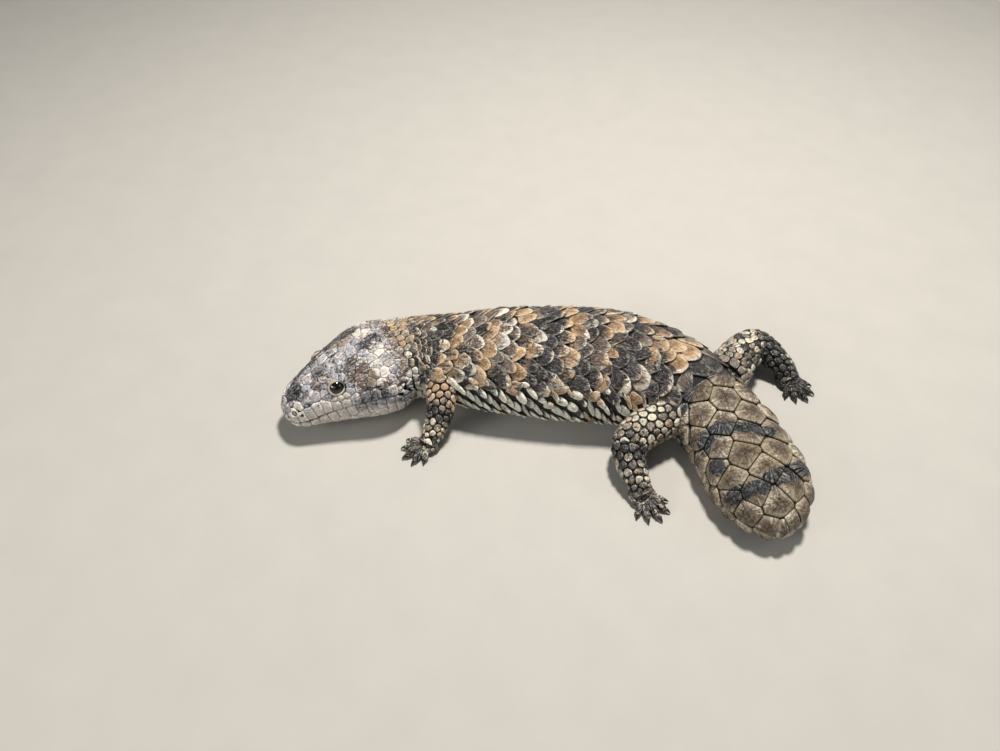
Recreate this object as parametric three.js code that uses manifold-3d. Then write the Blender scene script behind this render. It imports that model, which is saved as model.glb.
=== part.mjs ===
// A shingleback, the short-tailed blue-tongued skink of dry southern Australia, life size, in
// millimetres. +Z is up, it rests on z = 0, and it faces -X with its head and tail turned towards -Y.

import * as THREE from "three";
import { mergeVertices } from "three/addons/utils/BufferGeometryUtils.js";
import Module from "manifold-3d";

const wasm = await Module();
wasm.setup();

const GAP = 0.3; // between nodes that touch
const FLOOR = 0; // level of the soles and of the belly's flat
const UP = new THREE.Vector3(0, 0, 1);

// Driving dimensions of the head, from the nape (forward = 0) to the tip of the snout.
const HEAD_LENGTH = 67;
const HEAD_TURN = 30; // degrees from -X towards -Y
const SNOUT_ROUND = 9; // length of the blunt end
const NAPE = new THREE.Vector2(-91, 5.5);
const EYE_RADIUS = 4.6;
const EYE_FORWARD = 38.5;
const EYE_LEVEL = 30;
const EYE_SUNK = 3.9; // depth of the eye's centre inside the cheek
const LID_THICKNESS = 0.9;
const EYE_OPENING = { long: 3.5, tall: 2.9 }; // half sizes of the opening between the lids
const NOSTRIL = { forward: 60.5, fromTop: 50, radius: 1.1 };
const EAR = { forward: 6, fromTop: 74, long: 1.7, deep: 2.4, tall: 3.3 };

// Sections of the head: forward, half width, and the levels of chin, mouth line and crown.
const HEAD_STATIONS = [
  { forward: 0, half: 25, chin: 4, mouth: 17, crown: 40 },
  { forward: 10, half: 28.5, chin: 4, mouth: 16.5, crown: 40.5 },
  { forward: 21, half: 27, chin: 4.5, mouth: 16, crown: 39.5 },
  { forward: 34, half: 21.5, chin: 5.5, mouth: 14.5, crown: 37 },
  { forward: 46, half: 17, chin: 6.5, mouth: 13.5, crown: 32.5 },
  { forward: 57, half: 13.3, chin: 7.5, mouth: 12.5, crown: 26.5 },
  { forward: 67, half: 10.3, chin: 8, mouth: 12, crown: 21 },
];

// Shields of the head: rings of them from the nape to the snout, and their edges down each side, in
// degrees from the top. The upper lip lies between 70 and the mouth, and the lower lip below it.
const SHIELD_RINGS = 12;
const SHIELD_EDGES = [8, 23, 39, 55, 70, 90, 107, 132, 160];
const SHIELD_LIFTS = [0, 0, 0, 3, 8, 13, 10, 4, 0]; // how much higher up the cheek those edges run
const CHEEK = [42, 60]; // forward distances between which they come down to the snout
const SHIELD_ZIGZAG = 4; // degrees by which every second ring's crown shields are wider or narrower
const SHIELD_WANDER = 0.7; // how far their ends are out of line
const SHIELD_RISE = 0.4;
const SEAM_DEPTH = 0.2;
const SEAM_WIDTH = 0.6; // half width along the head
const SEAM_SHARE = 0.15; // half width round the head, as a share of a shield
const SMOOTH_CHIN = [107, 140]; // degrees from the top, where the shields start and end levelling out
const MOUTH_EDGE = SHIELD_EDGES.indexOf(90);
const MOUTH_DEPTH = 1;
const MOUTH_CORNER = [11, 19]; // forward distances between which its line fades out

// Sections of the body along the spine: where, half width, and levels of belly, widest line and back.
const TRUNK_STATIONS = [
  { name: "nape", x: NAPE.x, y: NAPE.y, half: 25, belly: 4, widest: 17, back: 40 },
  { name: "neck", x: -78, y: 7.5, half: 25, belly: 3.5, widest: 18, back: 40 },
  { name: "shoulder", x: -60, y: 6, half: 27.5, belly: 2.5, widest: 19, back: 42 },
  { name: "chest", x: -34, y: 5, half: 32, belly: 1, widest: 19, back: 44.5 },
  { name: "middle", x: 0, y: 3, half: 34.7, belly: -1, widest: 19, back: 46 },
  { name: "loin", x: 34, y: -0.5, half: 34.3, belly: -1.5, widest: 18.5, back: 45.5 },
  { name: "pelvis", x: 64, y: -11, half: 29, belly: -1.5, widest: 16, back: 39 },
  { name: "vent", x: 81.5, y: -31, half: 24, belly: -0.5, widest: 14, back: 32 },
  { name: "tail_root", x: 91, y: -53, half: 24.8, belly: -1, widest: 13, back: 30 },
  { name: "tail_middle", x: 96.5, y: -75, half: 24.4, belly: -1.5, widest: 12.5, back: 28 },
  { name: "tail_end", x: 99.6, y: -101, half: 19.1, belly: -1, widest: 11.5, back: 25 },
];
const TRUNK_SQUARE = { top: 2.1, foot: 2.5 }; // how square its sections are, 2 being an ellipse
const HEAD_SQUARE = { top: 2.5, foot: 2.3 };
const TAIL_ROUND = 27; // length of the tail's blunt end
const NECK_LENGTH = 27; // along the spine, from the nape to the shoulders
const TORSO_LENGTH = 142; // along the spine, from the shoulders to the vent

// Scutes of each length of the trunk: rings along it, scutes around each ring, how far they stand up
// at their rear edge, how much wider they are on the back than underneath, how much shorter towards
// the rear, and the share of a scute at which its top is already level (1 for a plain ramp).
const SCUTES = {
  neck: { rings: 4, around: 18, rise: 1.1, wider: 0.1, shorter: 1, level: 1 },
  torso: { rings: 12, around: 18, rise: 1.7, wider: 0.25, shorter: 1, level: 1 },
  tail: { rings: 7, around: 9, rise: 1.3, wider: 0.35, shorter: 1.35, level: 0.3 },
};
const SCUTE_HEIGHTS = [0.2, 0.85, 1, 0.85]; // across a scute, from the seam on its left
const SCUTE_REAR = [-0.22, 0.04, 0.14, 0.04]; // its rounded rear edge, as shares of its length
const LAP = 0.6; // from the rear edge of one ring to where the next comes out from under it
const SMOOTH_BELLY = [100, 140]; // degrees from the top, where the scutes start and end levelling out
const SMOOTH_LEG = [1, 7]; // distances off a leg's root within which they level out too

// Legs: joints, radii there, the foot's heading in degrees from +X, and its length.
const LEGS = {
  front_left: {
    joints: [[-65, -9, 24], [-64.5, -27, 17], [-68.5, -36.5, 8], [-71, -40.5, 4]],
    radii: [9.5, 7.4, 5.6, 4.8],
    heading: 212,
    toe: 8,
    palm: 6.2,
  },
  front_right: {
    joints: [[-60, 20, 24], [-50, 36, 17], [-55, 43, 8], [-58, 46, 4]],
    radii: [9.5, 7.4, 5.6, 4.8],
    heading: 160,
    toe: 8,
    palm: 6.2,
  },
  hind_left: {
    joints: [[60, -28, 17], [34, -50, 14], [37, -69, 7], [39, -73, 4.2]],
    radii: [12, 9, 6, 5.2],
    heading: 300,
    toe: 8,
    palm: 7,
  },
  hind_right: {
    joints: [[88, -8, 17], [115, 21, 14], [130, 10, 8], [133, 5, 4.2]],
    radii: [13, 9.5, 6, 5.2],
    heading: 298,
    toe: 8,
    palm: 7,
  },
};
const TOE_SPREAD = 96; // degrees from the first toe to the fifth
const TOE_SHARES = [0.7, 0.95, 1.1, 1.0, 0.65]; // each toe's length, as a share of the foot's
const TOE_RADIUS = 1.7;
const CLAW_LENGTH = 3.2;
const CLAW_RADIUS = 0.9;
const LIMB_ROUND = 0.12; // share of a limb's length that rounds its end

const COLOURS = {
  scale: { color: 0x7b6a52, roughness: 0.55, metalness: 0 },
  tail: { color: 0x8b7a5c, roughness: 0.5, metalness: 0 },
  head: { color: 0x6f6a66, roughness: 0.5, metalness: 0 },
  leg: { color: 0x6d6152, roughness: 0.6, metalness: 0 },
  eye: { color: 0x120d0a, roughness: 0.1, metalness: 0 },
};

// Turns a closed three.js geometry into a solid, facing out whichever way its faces ran.
function solidOf(geometry) {
  const bare = geometry.clone();
  bare.deleteAttribute("normal");
  bare.deleteAttribute("uv");
  const merged = mergeVertices(bare, 1e-4);
  const triVerts = new Uint32Array(merged.index.array);
  const vertProperties = merged.getAttribute("position").array;
  const made = new wasm.Manifold(new wasm.Mesh({ numProp: 3, vertProperties, triVerts }));
  if (made.volume() > 0) return made;
  for (let i = 0; i < triVerts.length; i += 3) {
    [triVerts[i + 1], triVerts[i + 2]] = [triVerts[i + 2], triVerts[i + 1]];
  }
  return new wasm.Manifold(new wasm.Mesh({ numProp: 3, vertProperties, triVerts }));
}

function geometryOf(solid) {
  const mesh = solid.getMesh();
  const geometry = new THREE.BufferGeometry();
  geometry.setAttribute("position", new THREE.BufferAttribute(mesh.vertProperties, 3));
  geometry.setIndex(new THREE.BufferAttribute(mesh.triVerts, 1));
  geometry.computeVertexNormals();
  return geometry;
}

function largest(solid) {
  return solid.decompose().sort((a, b) => b.volume() - a.volume())[0];
}

function joined(solids) {
  return solids.reduce((whole, piece) => whole.add(piece));
}

// A closed tube of loops, made from a cylinder whose rings are set one by one by place(loop, side),
// with its two end caps fanned from middle(loop).
function tube(loops, sides, place, middle) {
  const geometry = new THREE.CylinderGeometry(1, 1, 1, sides, loops - 1);
  const position = geometry.getAttribute("position");
  for (let i = 0; i < position.count; i++) {
    const [x, y, z] = [position.getX(i), position.getY(i), position.getZ(i)];
    const loop = Math.round((0.5 - y) * (loops - 1));
    const side = (Math.round((Math.atan2(x, z) / (2 * Math.PI)) * sides) + sides) % sides;
    const point = Math.hypot(x, z) < 0.5 ? middle(loop) : place(loop, side);
    position.setXYZ(i, point.x, point.y, point.z);
  }
  return geometry;
}

// A smooth curve through one size of a list of stations, read by station number.
function smooth(stations, sizes) {
  const curve = new THREE.CatmullRomCurve3(
    stations.map((s) => new THREE.Vector3(...sizes.map((size) => s[size]))),
    false,
    "catmullrom",
    0.5,
  );
  return (number) => curve.getPoint(number / (stations.length - 1));
}

function power(value, exponent) {
  return Math.sign(value) * Math.abs(value) ** exponent;
}

// Point of a section grown by a raise, across and up, for an angle from the top.
function sectionPoint({ half, low, level, high }, raise, angle, square) {
  const [sine, cosine] = [Math.sin(angle), Math.cos(angle)];
  const exponent = 2 / (cosine > 0 ? square.top : square.foot);
  const reach = (cosine > 0 ? high - level : level - low) + raise;
  return new THREE.Vector2((half + raise) * power(sine, exponent), level + reach * power(cosine, exponent));
}

// The spine in plan, read by distance from the nape, with a lead-in that keeps the head's direction.
const headDirection = new THREE.Vector2(1, 0).rotateAround(
  new THREE.Vector2(),
  THREE.MathUtils.degToRad(180 + HEAD_TURN),
);
const LEAD = 20;
const lead = NAPE.clone().addScaledVector(headDirection, LEAD);
const spine = new THREE.CatmullRomCurve3(
  [lead, ...TRUNK_STATIONS].map((s) => new THREE.Vector3(s.x, s.y, 0)),
  false,
  "centripetal",
);
spine.arcLengthDivisions = 2000;
const spans = TRUNK_STATIONS.length; // counting the lead-in
const leadShare = arcShareOf(1 / spans);
const TRUNK_LENGTH = spine.getLength() * (1 - leadShare);

// Share of the spine's length at a curve parameter.
function arcShareOf(parameter) {
  const lengths = spine.getLengths();
  return lengths[Math.round(parameter * (lengths.length - 1))] / spine.getLength();
}

const trunkHalf = smooth(TRUNK_STATIONS, ["half", "belly", "widest"]);
const trunkBack = smooth(TRUNK_STATIONS, ["back", "x", "y"]);

// Frame and sizes of the trunk at a distance from the nape.
function trunkAt(distance) {
  const share = leadShare + (distance / TRUNK_LENGTH) * (1 - leadShare);
  const parameter = spine.getUtoTmapping(Math.min(share, 1));
  const number = Math.max(0, parameter * spans - 1);
  const sizes = trunkHalf(number);
  const high = trunkBack(number).x;
  const tangent = spine.getTangent(Math.min(parameter, 1));
  const turned = THREE.MathUtils.clamp(distance / NECK_LENGTH, 0, 1);
  tangent.lerp(new THREE.Vector3(-headDirection.x, -headDirection.y, 0), 1 - turned);
  const beyond = Math.max(0, distance - (TRUNK_LENGTH - TAIL_ROUND)) / TAIL_ROUND;
  const shrink = Math.sqrt(Math.max(0, 1 - beyond ** 2));
  const level = sizes.z;
  return {
    origin: spine.getPoint(Math.min(parameter, 1)),
    across: new THREE.Vector3(-tangent.y, tangent.x, 0).normalize(),
    shrink,
    half: sizes.x * shrink,
    low: level - (level - sizes.y) * shrink,
    level,
    high: level + (high - level) * shrink,
  };
}

// Surface point of the trunk, raised off its plain form by the height of a scute and by a clearance.
function trunkPoint(distance, angle, height, clear) {
  const at = trunkAt(distance);
  const { x, y } = sectionPoint(at, height * at.shrink + clear, angle, TRUNK_SQUARE);
  return at.origin.clone().addScaledVector(at.across, x).setZ(Math.max(y, FLOOR - clear));
}

// How far the scutes stand up at a place, from 0 on the belly and round the legs' roots to 1.
function roughness(distance, angle) {
  const fromTop = THREE.MathUtils.radToDeg(Math.acos(Math.cos(angle)));
  const place = trunkPoint(distance, angle, 0, 0);
  const offLegs = Object.values(LEGS).map(({ joints, radii }) => {
    const root = new THREE.Line3(new THREE.Vector3(...joints[0]), new THREE.Vector3(...joints[1]));
    const nearest = root.closestPointToPoint(place, true, new THREE.Vector3());
    return THREE.MathUtils.smoothstep(nearest.distanceTo(place) - radii[0], ...SMOOTH_LEG);
  });
  return Math.min(1 - THREE.MathUtils.smoothstep(fromTop, ...SMOOTH_BELLY), ...offLegs);
}

// A length of the trunk, its surface stepped into rings of overlapping scutes. Each ring has a loop
// where its scutes come out from under the ring before and one at their rear edges, and the tail's
// has one more where they level out. Every second ring is shifted round by half a scute.
function trunkLength(from, to, scutes, clear = 0) {
  const { rings, around, rise, wider, shorter, level } = scutes;
  const points = SCUTE_HEIGHTS.length;
  const sides = around * points;
  const perRing = level < 1 ? 3 : 2;
  const startOf = (ring) => from + (to - from) * (1 - (1 - ring / rings) ** shorter);
  const loopAt = (loop, side) => {
    const [ring, part] = [Math.floor(loop / perRing), loop % perRing];
    const [start, end] = [startOf(ring), startOf(ring + 1)];
    const own = (side + (ring % 2) * (points / 2)) % points;
    const before = (own + points / 2) % points;
    const edge = (scute, length) => SCUTE_REAR[scute] * length;
    const front = ring === 0 ? start : start + edge(before, start - startOf(ring - 1)) + LAP;
    const rear = ring === rings - 1 ? end : end + edge(own, end - start);
    if (part === 0) return { distance: front, height: 0 };
    if (part === perRing - 1) return { distance: rear, height: rise * SCUTE_HEIGHTS[own] };
    return { distance: front + (rear - front) * level, height: 0.8 * rise * SCUTE_HEIGHTS[own] };
  };
  return tube(
    rings * perRing,
    sides,
    (loop, side) => {
      const { distance, height } = loopAt(loop, side);
      const turn = (side / sides) * 2 * Math.PI;
      const angle = turn + wider * Math.sin(turn);
      return trunkPoint(distance, angle, height * roughness(distance, angle), clear);
    },
    (loop) => {
      const at = trunkAt(loop === 0 ? from : to);
      return at.origin.clone().setZ(at.level);
    },
  );
}

const headHalf = smooth(HEAD_STATIONS, ["half", "chin", "mouth"]);
const headCrown = smooth(HEAD_STATIONS, ["crown", "forward", "half"]);

// Sizes of the head at a forward distance, closed by its blunt snout.
function headAt(forward) {
  let number = (forward / HEAD_LENGTH) * (HEAD_STATIONS.length - 1);
  for (let i = 0; i < 8; i++) {
    number += ((forward - headCrown(number).y) / HEAD_LENGTH) * (HEAD_STATIONS.length - 1);
    number = THREE.MathUtils.clamp(number, 0, HEAD_STATIONS.length - 1);
  }
  const sizes = headHalf(number);
  const high = headCrown(number).x;
  const beyond = Math.max(0, forward - (HEAD_LENGTH - SNOUT_ROUND)) / SNOUT_ROUND;
  const shrink = Math.sqrt(Math.max(0, 1 - beyond ** 2.2));
  const level = sizes.z;
  return {
    half: sizes.x * shrink,
    low: level - (level - sizes.y) * shrink,
    level,
    high: level + (high - level) * shrink,
    shrink,
  };
}

// The head lies in its own frame: +X forward from the nape, +Y to its left, +Z up.
function headPoint(forward, angle, raise = 0) {
  const at = headAt(forward);
  const { x, y } = sectionPoint(at, raise * at.shrink, angle, HEAD_SQUARE);
  return new THREE.Vector3(forward, x, y);
}

// The number-th value of an even draw between -1 and 1, always the same for one number.
function draw(number) {
  const wave = Math.sin(number * 127.1 + 11.7) * 43758.5453;
  return 2 * (wave - Math.floor(wave)) - 1;
}

// Shields of a ring are cells, counted all round the head from the one on the midline of the crown.
const SHIELDS_AROUND = 2 * SHIELD_EDGES.length;

// Forward distance at which a ring of shields starts, before its seams wander.
function ringForward(ring) {
  return HEAD_LENGTH * (1 - (1 - ring / SHIELD_RINGS) ** 1.25);
}

// Far edge of a shield, in degrees round from the top of the head.
function shieldEdge(ring, cell) {
  const around = (cell + SHIELDS_AROUND) % SHIELDS_AROUND;
  const near = around < SHIELD_EDGES.length ? around : SHIELDS_AROUND - 1 - around;
  const zigzag = near < 3 ? SHIELD_ZIGZAG * (-1) ** (ring + near) + draw(ring * 31 + around) : 0;
  const lift = SHIELD_LIFTS[near] * (1 - THREE.MathUtils.smoothstep(ringForward(ring), ...CHEEK));
  const edge = SHIELD_EDGES[near] + zigzag - lift;
  return around < SHIELD_EDGES.length ? edge : 360 - edge;
}

// Forward distance of the seam in front of a ring of shields, at one of its cells.
function shieldSeam(ring, cell) {
  const wander = ring === 0 || ring > SHIELD_RINGS - 2 ? 0 : SHIELD_WANDER;
  return ringForward(ring) + wander * draw(ring * 57 + ((cell + SHIELDS_AROUND) % SHIELDS_AROUND));
}

// A point of the head's surface, which seams part into shields, each a flat raised cell. A ring of
// shields has three loops and a shield three sides, the first of each on the seam.
function shieldPoint(loop, side) {
  const [ring, along] = [Math.floor(loop / 3), loop % 3];
  const [cell, across] = [Math.floor(side / 3), side % 3];
  const before = across === 0 ? cell - 1 : cell;
  const seamOf = (number) => (shieldSeam(number, cell) + shieldSeam(number, before)) / 2;
  const ends = [seamOf(ring), seamOf(ring) + SEAM_WIDTH, seamOf(ring + 1) - SEAM_WIDTH];
  const forward = Math.min(ends[along], HEAD_LENGTH);
  const ahead = along === 0 && ring > 0 ? ring - 1 : ring;
  const edgeOf = (number) => (shieldEdge(ring, number) + shieldEdge(ahead, number)) / 2;
  const high = edgeOf(cell);
  const low = cell === 0 ? edgeOf(-1) - 360 : edgeOf(cell - 1);
  const degrees = low + (high - low) * [0, SEAM_SHARE, 1 - SEAM_SHARE][across];
  const fromTop = degrees > 180 ? 360 - degrees : Math.abs(degrees);
  const levelled = THREE.MathUtils.smoothstep(fromTop, ...SMOOTH_CHIN);
  const open = THREE.MathUtils.smoothstep(forward, ...MOUTH_CORNER);
  let raise = (along > 0 && across > 0 ? SHIELD_RISE : -SEAM_DEPTH) * (1 - levelled);
  if (across === 0 && (cell === MOUTH_EDGE + 1 || cell === SHIELDS_AROUND - MOUTH_EDGE)) {
    raise = -THREE.MathUtils.lerp(SEAM_DEPTH, MOUTH_DEPTH, open);
  }
  return headPoint(forward, THREE.MathUtils.degToRad(degrees), raise);
}

function headForm() {
  return tube(SHIELD_RINGS * 3 + 1, SHIELDS_AROUND * 3, shieldPoint, (loop) => {
    const forward = loop === 0 ? 0 : HEAD_LENGTH;
    return new THREE.Vector3(forward, 0, headAt(forward).level);
  });
}

// Centre of an eye in the head's frame: side is 1 on the left, -1 on the right.
function eyeCentre(side) {
  const at = headAt(EYE_FORWARD);
  const rise = (EYE_LEVEL - at.level) / (at.high - at.level);
  const across = at.half * (1 - rise ** HEAD_SQUARE.top) ** (1 / HEAD_SQUARE.top);
  return new THREE.Vector3(EYE_FORWARD, side * (across - EYE_SUNK), EYE_LEVEL);
}

// Turn that takes +Y to the way an eye looks: outwards, up and a little forward.
function eyeTurn(side) {
  const looks = new THREE.Vector3(0.15, side, 0.75).normalize();
  return new THREE.Quaternion().setFromUnitVectors(new THREE.Vector3(0, 1, 0), looks);
}

function ball(radius, centre, across = 14, down = 8) {
  return new THREE.SphereGeometry(radius, across, down).translate(centre.x, centre.y, centre.z);
}

// A pit in the head's surface, for a nostril or an ear.
function pit(side, { forward, fromTop }, long, deep, tall) {
  const at = headPoint(forward, side * THREE.MathUtils.degToRad(fromTop));
  return solidOf(new THREE.SphereGeometry(1, 10, 6).scale(long, deep, tall).translate(at.x, at.y, at.z));
}

function makeHead() {
  let head = solidOf(headForm());
  for (const side of [1, -1]) {
    const centre = eyeCentre(side);
    const opening = new THREE.CylinderGeometry(1, 1, 2 * EYE_RADIUS, 14).translate(0, EYE_RADIUS, 0);
    opening.scale(EYE_OPENING.long, 1, EYE_OPENING.tall);
    opening.applyQuaternion(eyeTurn(side)).translate(centre.x, centre.y, centre.z);
    head = head
      .add(solidOf(ball(EYE_RADIUS + LID_THICKNESS, centre)))
      .subtract(solidOf(ball(EYE_RADIUS + GAP, centre)))
      .subtract(solidOf(opening))
      .subtract(pit(side, NOSTRIL, NOSTRIL.radius, NOSTRIL.radius, NOSTRIL.radius))
      .subtract(pit(side, EAR, EAR.long, EAR.deep, EAR.tall));
  }
  return largest(head);
}

// A limb: a tube of round sections along a curve through its joints, closed by round ends.
function limb(joints, radii, loops, sides) {
  const path = new THREE.CatmullRomCurve3(joints.map((j) => new THREE.Vector3(...j)), false, "centripetal");
  const size = new THREE.CatmullRomCurve3(radii.map((r) => new THREE.Vector3(r, 0, 0)));
  const radiusAt = (share) => {
    const fromEnd = Math.min(1, (1 - share) / LIMB_ROUND);
    return size.getPoint(share).x * Math.sqrt(Math.max(0, 1 - (1 - fromEnd) ** 2));
  };
  return tube(
    loops,
    sides,
    (loop, side) => {
      const share = loop / (loops - 1);
      const along = path.getTangent(share);
      const out = new THREE.Vector3().crossVectors(along, UP).normalize();
      const over = new THREE.Vector3().crossVectors(out, along);
      const angle = (side / sides) * 2 * Math.PI;
      const radius = radiusAt(Math.min(share, 0.999));
      return path
        .getPoint(share)
        .addScaledVector(out, radius * Math.sin(angle))
        .addScaledVector(over, radius * Math.cos(angle));
    },
    (loop) => path.getPoint(loop / (loops - 1)),
  );
}

// A foot: its palm, five toes and their claws, on the floor.
function foot(leg) {
  const [x, y] = leg.joints.at(-1);
  const centre = new THREE.Vector3(x, y, 3);
  const palm = new THREE.SphereGeometry(leg.palm, 10, 6).scale(1, 1, 0.62).translate(x, y, 2.6);
  const pieces = [solidOf(palm)];
  TOE_SHARES.forEach((share, i) => {
    const turn = leg.heading + TOE_SPREAD * (i / (TOE_SHARES.length - 1) - 0.5);
    const angle = THREE.MathUtils.degToRad(turn);
    const direction = new THREE.Vector3(Math.cos(angle), Math.sin(angle), 0);
    const along = (reach, level) => centre.clone().addScaledVector(direction, reach).setZ(level);
    const start = leg.palm * 0.55;
    const tip = leg.palm * 0.75 + leg.toe * share;
    const points = [
      along(start, 3),
      along((start + tip) / 2, 3.3),
      along(tip - 0.5, 1.8),
      along(tip + CLAW_LENGTH * 0.4, 1.7),
      along(tip + CLAW_LENGTH, 0.4),
    ];
    const radii = [TOE_RADIUS * 1.15, TOE_RADIUS * 1.05, TOE_RADIUS * 0.95, CLAW_RADIUS, CLAW_RADIUS * 0.3];
    pieces.push(solidOf(limb(points.map((p) => p.toArray()), radii, 6, 5)));
  });
  return joined(pieces);
}

const model = new THREE.Group();

function addNode(parent, name, solid, finish) {
  const mesh = new THREE.Mesh(geometryOf(solid), new THREE.MeshStandardMaterial(COLOURS[finish]));
  mesh.name = name;
  parent.add(mesh);
  return mesh;
}

// The lengths of the trunk: where each starts and ends along the spine.
const TAIL_TIP = TRUNK_LENGTH - 0.1;
const LENGTHS = {
  neck: { from: 0, to: NECK_LENGTH, finish: "scale" },
  torso: { from: NECK_LENGTH, to: NECK_LENGTH + TORSO_LENGTH, finish: "scale" },
  tail: { from: NECK_LENGTH + TORSO_LENGTH, to: TAIL_TIP, finish: "tail" },
};
for (const [name, { from, to, finish }] of Object.entries(LENGTHS)) {
  const end = to === TAIL_TIP ? to : to - GAP / 2;
  addNode(model, name, solidOf(trunkLength(from + GAP / 2, end, SCUTES[name])), finish);
}

const headFrame = new THREE.Group();
headFrame.position.set(NAPE.x, NAPE.y, 0);
headFrame.rotation.z = THREE.MathUtils.degToRad(180 + HEAD_TURN);
addNode(headFrame, "head", makeHead().translate([GAP / 2, 0, 0]), "head");
addNode(headFrame, "eye_left", solidOf(ball(EYE_RADIUS, eyeCentre(1))).translate([GAP / 2, 0, 0]), "eye");
addNode(headFrame, "eye_right", solidOf(ball(EYE_RADIUS, eyeCentre(-1))).translate([GAP / 2, 0, 0]), "eye");
model.add(headFrame);

// The trunk a gap larger all round, which the legs are cut back from.
const grown = joined(
  Object.entries(LENGTHS).map(([name, { from, to }]) => {
    return solidOf(trunkLength(from - GAP, Math.min(to + GAP, TAIL_TIP), SCUTES[name], GAP));
  }),
);
const below = new THREE.BoxGeometry(600, 600, 60).translate(0, 0, FLOOR - 30);

// Each leg is cut back from the trunk, levelled on the floor and parted from its foot at the ankle.
for (const [name, leg] of Object.entries(LEGS)) {
  const upper = solidOf(limb(leg.joints, leg.radii, 14, 12));
  const whole = upper.add(foot(leg)).subtract(solidOf(below)).subtract(grown);
  const [ankle, sole] = [new THREE.Vector3(...leg.joints[2]), new THREE.Vector3(...leg.joints[3])];
  const along = sole.clone().sub(ankle).normalize();
  const cut = new THREE.CylinderGeometry(leg.radii[2] * 1.5, leg.radii[2] * 1.5, GAP, 24);
  cut.applyQuaternion(new THREE.Quaternion().setFromUnitVectors(new THREE.Vector3(0, 1, 0), along));
  cut.translate(ankle.x, ankle.y, ankle.z);
  const pieces = whole.subtract(solidOf(cut)).decompose();
  const reach = (piece) => {
    const { min, max } = piece.boundingBox();
    const middle = new THREE.Vector3((min[0] + max[0]) / 2, (min[1] + max[1]) / 2, (min[2] + max[2]) / 2);
    return middle.distanceTo(sole);
  };
  const big = pieces.sort((a, b) => b.volume() - a.volume()).slice(0, 2);
  big.sort((a, b) => reach(a) - reach(b));
  addNode(model, name + "_leg", big[1], "leg");
  addNode(model, name + "_foot", big[0], "leg");
}

// The frame's origin is the middle of the box's foot.
model.updateMatrixWorld(true);
const box = new THREE.Box3().setFromObject(model, true);
model.position.set(-(box.min.x + box.max.x) / 2, -(box.min.y + box.max.y) / 2, -box.min.z);

export default model;
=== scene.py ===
# %% [markdown]
# # A shingleback skink, dressed in its scales
# The solids of this animal are already made and packed. This lesson gives them their looks: one
# skin, then hundreds of horny scales laid over it, lids, eyes and claws, and last the paint. A
# shingleback is armoured like a pine cone: big knobbly shingles on its back, large domed plates on
# a fat blunt tail, smooth shields on its head, and small beads on its sides, neck and legs.

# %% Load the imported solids
import math

import bmesh
import bpy
import numpy as np
from mathutils import Matrix, Vector
from mathutils.bvhtree import BVHTree


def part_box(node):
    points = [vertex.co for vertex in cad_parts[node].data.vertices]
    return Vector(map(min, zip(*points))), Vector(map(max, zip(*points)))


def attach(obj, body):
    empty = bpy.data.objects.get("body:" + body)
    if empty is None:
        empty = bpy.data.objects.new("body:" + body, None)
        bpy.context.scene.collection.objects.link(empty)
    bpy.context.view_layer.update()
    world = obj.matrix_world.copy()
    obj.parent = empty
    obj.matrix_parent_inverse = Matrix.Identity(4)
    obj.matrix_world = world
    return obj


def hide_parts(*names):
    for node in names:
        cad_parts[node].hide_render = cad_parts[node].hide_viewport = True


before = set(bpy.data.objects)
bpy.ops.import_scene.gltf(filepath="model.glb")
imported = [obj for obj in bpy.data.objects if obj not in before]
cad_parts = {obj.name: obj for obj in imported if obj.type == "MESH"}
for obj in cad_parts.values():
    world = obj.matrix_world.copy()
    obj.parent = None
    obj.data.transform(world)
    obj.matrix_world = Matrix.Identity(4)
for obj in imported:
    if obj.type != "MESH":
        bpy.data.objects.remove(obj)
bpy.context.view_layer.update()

print("solids:", ", ".join(sorted(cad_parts)))

# %% [markdown]
# ## The shape to follow
# Every scale has to sit on the body, so the script needs the body's shape as functions: give a
# distance along the animal and an angle round it, get a point. The plan of the body is a short list
# of cross sections, and smooth curves run through them. All sizes are in millimetres until a mesh is
# made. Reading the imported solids' faces would work too, but a function can also say what is
# "along" and "across" at each point, and that is how scales lie.

# %% Smooth curves through a few sizes
def curve_through(points, even=True):
    """A smooth curve through points, read by point number, with fractions between two points."""
    points = np.array(points, float)
    padded = np.vstack([2 * points[0] - points[1], points, 2 * points[-1] - points[-2]])

    def read(numbers):
        numbers = np.asarray(numbers, float)
        first = np.clip(np.floor(numbers).astype(int), 0, len(points) - 2)
        share = (numbers - first)[..., None]
        a, b, c, d = (padded[first + step] for step in range(4))
        leave, arrive = (c - a) / 2, (d - b) / 2
        if not even:
            ab, bc, cd = (
                np.maximum(np.sum((q - p) ** 2, -1, keepdims=True) ** 0.25, 1e-4)
                for p, q in ((a, b), (b, c), (c, d))
            )
            leave = ((b - a) / ab - (c - a) / (ab + bc) + (c - b) / bc) * bc
            arrive = ((c - b) / bc - (d - b) / (bc + cd) + (d - c) / cd) * bc
        square = -3 * b + 3 * c - 2 * leave - arrive
        cube = 2 * b - 2 * c + leave + arrive
        return b + share * (leave + share * (square + share * cube))

    return read


def radius_at(radii, numbers):
    """Radii along a limb, read by joint number."""
    return curve_through([[radius] for radius in radii], even=False)(numbers)[..., 0]


def power(value, exponent):
    return np.sign(value) * np.abs(value) ** exponent


def smoothstep(low, high, value):
    share = np.clip((np.asarray(value, float) - low) / (high - low), 0, 1)
    return share * share * (3 - 2 * share)


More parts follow.
